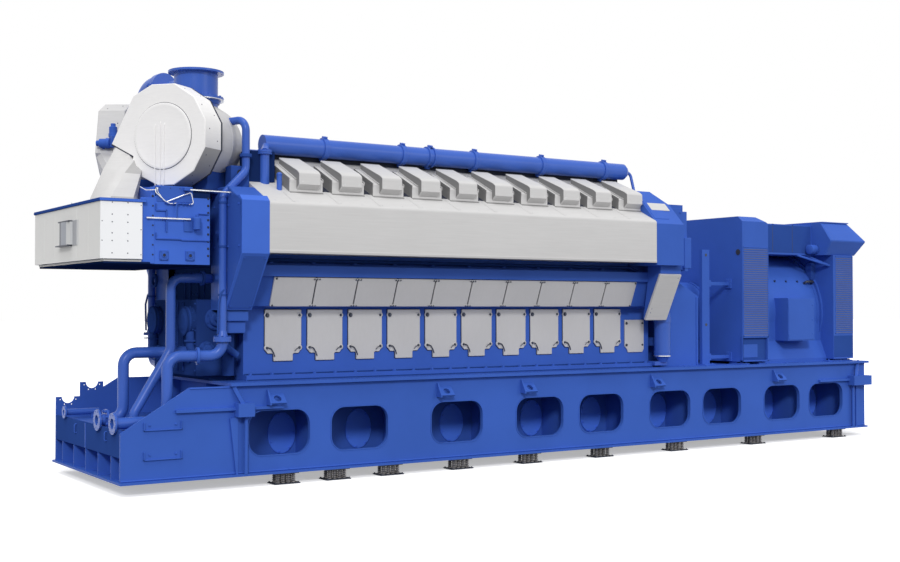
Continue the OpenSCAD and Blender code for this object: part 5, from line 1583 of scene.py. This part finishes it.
class GENSET_OT_filter_details(bpy.types.Operator):
    """Oil filters: domed heads, clamp bands, bolts and their pipes"""

    bl_idname = "genset.filter_details"
    bl_label = "Oil filter details"

    def execute(self, context):
        shape, bright = Shape(), Shape()
        at = np.array([BANK + 0.6, 1.01, 0.0])
        for profile in (
            [(0.70, 0.125), (0.725, 0.125), (0.74, 0.11), (0.76, 0.06), (0.79, 0.05), (0.8, 0.04),
             (0.8, 0)],
            [(0.16, 0.117), (0.12, 0.08), (0.07, 0.06), (0.07, 0.0)],
        ):
            turned(shape, profile, at, UP, 40)
        bolt_circle(shape, at + UP * 0.70, UP, 0.115, 10, 0.02)
        for z in (0.2, 0.56):
            hoop(shape, z, z + 0.02, 0.117, 0.122, at, UP, 40)
        hoop(bright, 0.152, 0.165, 0.11, 0.126, at, UP, 40)
        riser = at + [(0, 0, 0.79), (0, 0, 0.9), (0, -0.2, 0.98), (-0.02, -0.24, 1.2)]
        pipe(shape, bent(riser, 0.08), 0.028, 14)
        block(shape, at + [-0.16, -0.3, 0.02], at + [0.08, 0.02, 0.08], 0.005)
        pair(shape, "oil_filter_details", "blue_pipe")
        pair(bright, "oil_filter_bands", "bright_steel")
        return {"FINISHED"}


# ---- Generator ----

DRIVE_BOX_X, STATOR_X0, STATOR_L = BANK + 2.056, BANK + 2.614, 1.476
STATOR_X1 = STATOR_X0 + STATOR_L
REAR_X, REAR_L = BANK + 4.09, 0.47
BOX_HALF = 1.184
SHAFT_Z = 0.77
STATOR_R = 0.94


def louver(shape, x0, x1, z0, z1, y, blades=40):
    """Louver panel: a frame with a rim and thin sloping blades one above another."""
    rim = 0.012
    ax, bx, az, bz = x0 + rim, x1 - rim, z0 + rim, z1 - rim
    # A dark panel behind the blades, painted as the shade inside the louver.
    shape.paint = 1
    panel(shape, rectangle(ax, az, bx, bz), (0, y - 0.03, 0), UP, 0.012, 0.001)
    shape.paint = 0
    for a0, a1, b0, b1 in ((x0, ax, z0, z1), (bx, x1, z0, z1), (x0, x1, z0, az), (x0, x1, bz, z1)):
        block(shape, (a0, y - 0.03, b0), (a1, y, b1), 0.002)
    shape.paint = 2
    blade, step = Shape(), (bz - az) / blades
    section = [(-0.018, 0.95), (-0.002, 0.15), (-0.002, 0.0), (-0.018, 0.8)]
    loft(blade, [[(x, y + a, b * step) for a, b in section] for x in (ax - 0.001, bx + 0.001)])
    shape.stamp(blade, [(0, 0, az + k * step) for k in range(blades)], np.eye(3))


class GENSET_OT_generator_panels(bpy.types.Operator):
    """Generator boxes: louver panels with rims, recessed panels under them and round holes"""

    bl_idname = "genset.generator_panels"
    bl_label = "Generator panels"

    def execute(self, context):
        shape = Shape()
        x0, x1, face = DRIVE_BOX_X, STATOR_X0, BOX_HALF
        end = REAR_X + REAR_L
        louver(shape, x0 + 0.017, x1, 0.42, 1.77, face + 0.006)
        louver(shape, REAR_X + 0.045, end - 0.003, 0.44, 1.675, face + 0.006)
        # Recessed panel under the louver of the driving box, with its border.
        shape.paint = 0
        y = face - 0.05
        blocks(
            shape, 0.002, ((x0, y - 0.002, 0.042), (x0 + 0.02, face, 0.42)),
            ((x1 - 0.02, y - 0.002, 0.042), (x1, face, 0.42)),
            ((x0, y - 0.002, 0.042), (x1, face, 0.062)),
        )
        block(shape, (x0 + 0.05, y - 0.001, 0.10), (x0 + 0.36, y + 0.012, 0.30), 0.003)
        # Sheets painted in shade: under both louvers, along the roof's edge and by its throat.
        shape.paint = 3
        blocks(
            shape, 0.002,
            ((REAR_X + 0.012, face - 0.001, 0.07), (end - 0.004, face + 0.004, 0.41)),
            ((x0 + 0.022, y - 0.002, 0.065), (x1 - 0.022, y + 0.004, 0.415)),
            ((x1 + 0.004, 0.87, 1.722), (BANK + 3.915, 0.8875, 2.15)),
        )
        block(shape, (STATOR_X1 - 0.09, 0.70, 1.30), (STATOR_X1 + 0.004, 0.822, 1.57))
        # Border straps along the edges of both boxes.
        shape.paint = 0
        blocks(shape, 0.002, *[
            ((x - 0.001, face - 0.03, 0.06), (x + 0.008, face + 0.004, top))
            for x, top in ((x0, 2.14), (REAR_X, 1.68))
        ])
        # Feet and their bolts.
        for start, stop, thick, bolts in (
            (x0, x0 + 0.18, 0.016, (x0 + 0.04, x0 + 0.14)),
            (x1 - 0.18, x1, 0.016, (x1 - 0.14, x1 - 0.04)),
            (REAR_X - 0.08, end + 0.02, 0.018, [REAR_X + d for d in (-0.04, 0.1, 0.3, 0.44)]),
        ):
            block(shape, (start, 0.9, 0.0), (stop, 1.16, thick), 0.003)
            bolt_heads(shape, [(x, 1.12, thick) for x in bolts], UP, 0.024)
        # Edge screws round the driving box's louver.
        shape.paint = 1
        places = [(x, face + 0.006, z) for x in (x0 + 0.022, x1 - 0.006)
                  for z in np.arange(0.44, 1.72, 0.21)]
        rivets(shape, places, OUT, 0.0045)
        # Round hole in the driving box's front, near its edge: a disc painted dark as the shade
        # inside it.
        button(shape, 0.045, 0.0035, (x0, 1.1, 1.69), -RIGHT, 32)
        pair(shape, "generator_panels", ["blue_enamel", "dark_gap", "slate_louver", "blue_shade"])
        return {"FINISHED"}


class GENSET_OT_generator_details(bpy.types.Operator):
    """Generator frame: bolt rows, lifting handle, terminal box doors, roof head and guard"""

    bl_idname = "genset.generator_details"
    bl_label = "Generator details"

    def execute(self, context):
        shape, dark, middle = Shape(), Shape(), Shape()
        centre = SHAFT_Z * UP
        # Bands round the frame and a row of bolts above the terminal box.
        for x in (STATOR_X0 + 0.02, STATOR_X1 - 0.1):
            hoop(middle, x, x + 0.03, STATOR_R - 0.002, STATOR_R + 0.006, centre, RIGHT, 96)
        for rows, turn in ((dark, 32), (shape, 148)):
            normal = np.array([0, math.cos(math.radians(turn)), math.sin(math.radians(turn))])
            places = [centre + normal * STATOR_R + RIGHT * x
                      for x in np.linspace(STATOR_X0 + 0.3, STATOR_X1 - 0.4, 4)]
            bolt_heads(rows, places, normal, 0.026)
        # Bolts round the end shield and its inner cover.
        bolt_circle(middle, centre + RIGHT * STATOR_X1, RIGHT, STATOR_R + 0.012, 24, 0.026)
        at = centre + RIGHT * (STATOR_X1 + 0.32)
        cover = [(0, 0.62), (0.012, 0.615), (0.012, 0.3), (0.07, 0.28), (0.09, 0.26), (0.09, 0)]
        turned(middle, cover, at, RIGHT, 64)
        bolt_circle(middle, at + RIGHT * 0.012, RIGHT, 0.56, 16, 0.026)
        bolt_circle(middle, at + RIGHT * 0.07, RIGHT, 0.285, 8, 0.02)
        # Boss and bolts by the foot of the frame.
        turned(shape, [(0, 0.06), (0.02, 0.062), (0.1, 0.06), (0.11, 0.035), (0.11, 0)],
               (STATOR_X1 - 0.22, 0.86, 0.16), OUT, 28)
        places = [(x, 1.0, 0.06) for x in np.linspace(STATOR_X0 + 0.1, STATOR_X1 - 0.1, 6)]
        bolt_heads(shape, places, UP, 0.034)
        # Black handle at the frame's shoulder.
        lift = 0.06 * np.array([0, math.cos(math.radians(30)), math.sin(math.radians(30))])
        base = centre + lift / 0.06 * STATOR_R + RIGHT * (STATOR_X1 - 0.26)
        along = RIGHT * 0.17
        pipe(dark, bent([base, base + lift, base + lift + along, base + along], 0.03), 0.02, 8)
        # Terminal box: door panel, hinges and a cable gland plate under it.
        x0, x1 = BANK + 3.04, BANK + 3.635
        flat = rectangle(x0 + 0.012, 0.355, x1 - 0.012, 0.99, 0.008)
        panel(shape, flat, (0, 1.19, 0), UP, 0.008, 0.003)
        for z in (0.46, 0.88):
            straight(shape, *[(x0 + 0.004, 1.196, z + d) for d in (-0.03, 0.03)], 0.009, 8)
        rivets(shape, [(x1 - 0.05, 1.198, z) for z in (0.45, 0.67, 0.9)], OUT, 0.014)
        block(shape, (x0 + 0.08, 0.82, 0.325), (x1 - 0.08, 1.02, 0.344))
        # Roof head: seams over its top and down its sides, and struts to the rear boxes.
        roof_x = BANK + 3.93
        for a in (0.32, 0.66):
            x = STATOR_X0 + a * (roof_x - STATOR_X0)
            block(middle, (x, -0.884, 2.15), (x + 0.03, 0.884, 2.168), 0.003)
            block(dark, (x, 0.880, 1.73), (x + 0.007, 0.8895, 2.14), 0.001)
        for x in (roof_x - 0.34, roof_x - 0.12):
            straight(shape, (x, 0.84, 1.7), (REAR_X, 1.12, 1.52), 0.018, 8)
        turned(shape, [(0, 0.07), (0.01, 0.075), (0.14, 0.075), (0.15, 0.05), (0.15, 0)],
               (roof_x - 0.02, 0.98, 1.78), -RIGHT, 28)
        # Coupling guard: hoops, post holes and base plates.
        for x in np.linspace(BANK + 1.46, DRIVE_BOX_X - 0.05, 3):
            hoop(middle, x, x + 0.04, 0.478, 0.492, centre, RIGHT, 64)
        post = BANK + 1.467
        for z in (0.6, 1.64):
            button(dark, 0.022, 0.002, (post + 0.08, 0.94, z), OUT, 16)
        block(shape, (post - 0.03, 0.86, 0.0), (post + 0.19, 1.02, 0.014), 0.003)
        bolt_heads(shape, [(post + d, 0.985, 0.014) for d in (0.0, 0.16)], UP, 0.02)
        for z in (0.115, 1.215):
            blocks(
                shape, 0.003,
                ((DRIVE_BOX_X - 0.02, 0.86, z - 0.07), (DRIVE_BOX_X, 0.97, z + 0.07)),
                ((post + 0.15, 0.872, z - 0.05), (post + 0.19, 0.935, z + 0.05)),
            )
        piece(middle, "generator_rings", "blue_enamel")
        pair(shape, "generator_details", "blue_enamel")
        pair(dark, "generator_fittings", "dark_steel")
        return {"FINISHED"}


# ---- Stage ----


class GENSET_OT_stage(bpy.types.Operator):
    """Stage: pale floor, soft lamps, white surroundings and the camera"""

    bl_idname = "genset.stage"
    bl_label = "Stage"

    def execute(self, context):
        scene, sizes = context.scene, context.scene.genset_stage
        scene.view_settings.view_transform = "Standard"

        camera = bpy.data.cameras.new("camera")
        camera.sensor_width = 36.0
        camera.lens = sizes.lens
        camera.clip_end = 300.0
        level = math.cos(sizes.pitch)
        view = (math.cos(sizes.heading) * level, math.sin(sizes.heading) * level,
                math.sin(sizes.pitch))
        scene.camera = self.seat("camera", camera, view)
        scene.camera.location = sizes.camera

        for name, strength, angle, towards in (
            ("key", sizes.key, 10, (0.45, 0.75, -0.48)),
            ("side", sizes.side, 20, (-0.45, 0.85, -0.28)),
            ("top", sizes.top, 30, (0.2, 0.2, -1.0)),
        ):
            lamp = bpy.data.lights.new(name, "SUN")
            lamp.energy = strength
            lamp.angle = math.radians(angle)
            self.seat(name, lamp, towards)

        scene.world = bpy.data.worlds.new("surroundings")
        tree = self.cleared(scene.world)
        light = self.shader(tree, "ShaderNodeBackground", (1, 1, 1, 1), Strength=sizes.sky)
        white = self.shader(tree, "ShaderNodeBackground", (1, 1, 1, 1), Strength=1.0)
        self.join(tree, light, white, "ShaderNodeOutputWorld")

        size = 160.0
        mesh = bpy.data.meshes.new("floor")
        corners = [(a * size, b * size, 0.0) for a, b in rectangle(-1, -1, 1, 1)]
        mesh.from_pydata(corners, [], [(0, 1, 2, 3)])
        floor = bpy.data.objects.new("floor", mesh)
        scene.collection.objects.link(floor)
        pale = bpy.data.materials.new("pale_floor")
        tree = self.cleared(pale)
        paper = self.shader(tree, "ShaderNodeBsdfDiffuse", (0.2, 0.2, 0.2, 1))
        bright = self.shader(tree, "ShaderNodeBsdfDiffuse", (0.95, 0.95, 0.95, 1))
        lift = self.shader(tree, "ShaderNodeEmission", (1, 1, 1, 1), Strength=0.42)
        both = tree.nodes.new("ShaderNodeAddShader")
        tree.links.new(bright, both.inputs[0])
        tree.links.new(lift, both.inputs[1])
        self.join(tree, paper, both.outputs[0], "ShaderNodeOutputMaterial")
        mesh.materials.append(pale)
        return {"FINISHED"}

    def seat(self, name, data, towards):
        """An object for a camera or lamp, turned to look in a direction."""
        holder = bpy.data.objects.new(name, data)
        holder.rotation_mode = "QUATERNION"
        holder.rotation_quaternion = Vector(towards).to_track_quat("-Z", "Y")
        bpy.context.scene.collection.objects.link(holder)
        return holder

    def cleared(self, owner):
        """An emptied node tree."""
        owner.use_nodes = True
        owner.node_tree.nodes.clear()
        return owner.node_tree

    def shader(self, tree, kind, colour, **settings):
        """The output of a new shader of one colour."""
        node = tree.nodes.new(kind)
        for key, value in dict(settings, Color=colour).items():
            node.inputs[key].default_value = value
        return node.outputs[0]

    def join(self, tree, plain, seen, output):
        """Shows one shader to camera, gloss and glass rays, and the other to all else."""
        path = tree.nodes.new("ShaderNodeLightPath")
        total = path.outputs["Is Camera Ray"]
        for name in ("Is Glossy Ray", "Is Transmission Ray"):
            more = tree.nodes.new("ShaderNodeMath")
            more.operation = "MAXIMUM"
            tree.links.new(total, more.inputs[0])
            tree.links.new(path.outputs[name], more.inputs[1])
            total = more.outputs[0]
        mix = tree.nodes.new("ShaderNodeMixShader")
        end = tree.nodes.new(output)
        for value, socket in zip((total, plain, seen, mix.outputs[0]),
                                 (*mix.inputs, end.inputs["Surface"])):
            tree.links.new(value, socket)


OPERATORS = (
    GENSET_OT_stage,
    GENSET_OT_finishes,
    GENSET_OT_spring_pads,
    GENSET_OT_base_details,
    GENSET_OT_doors,
    GENSET_OT_camshaft_covers,
    GENSET_OT_hot_boxes,
    GENSET_OT_rocker_hoods,
    GENSET_OT_gas_pipe_fittings,
    GENSET_OT_turbochargers,
    GENSET_OT_scroll_ducts,
    GENSET_OT_exhaust_fittings,
    GENSET_OT_cooler_details,
    GENSET_OT_air_duct_details,
    GENSET_OT_pipe_fittings,
    GENSET_OT_free_end_covers,
    GENSET_OT_drive_end_details,
    GENSET_OT_filter_details,
    GENSET_OT_generator_panels,
    GENSET_OT_generator_details,
)


class GENSET_PT_panel(bpy.types.Panel):
    """Lists the steps that build the generator set"""

    bl_idname = "GENSET_PT_panel"
    bl_label = "Generator Set"
    bl_space_type = "VIEW_3D"
    bl_region_type = "UI"
    bl_category = "Generator Set"

    def draw(self, context):
        column = self.layout.column(align=True)
        for step in OPERATORS:
            column.operator(step.bl_idname)
        for group in (context.scene.genset_colours, context.scene.genset_stage):
            for name in group.bl_rna.properties.keys():
                if name not in ("name", "rna_type"):
                    self.layout.prop(group, name)


CLASSES = (FinishColours, StageSizes) + OPERATORS + (GENSET_PT_panel,)


def register():
    for cls in CLASSES:
        bpy.utils.register_class(cls)
    bpy.types.Scene.genset_colours = bpy.props.PointerProperty(type=FinishColours)
    bpy.types.Scene.genset_stage = bpy.props.PointerProperty(type=StageSizes)


def unregister():
    del bpy.types.Scene.genset_stage
    del bpy.types.Scene.genset_colours
    for cls in reversed(CLASSES):
        bpy.utils.unregister_class(cls)


def main():
    register()
    for step in OPERATORS:
        group, name = step.bl_idname.split(".")
        getattr(getattr(bpy.ops, group), name)()


if __name__ == "__main__":
    main()
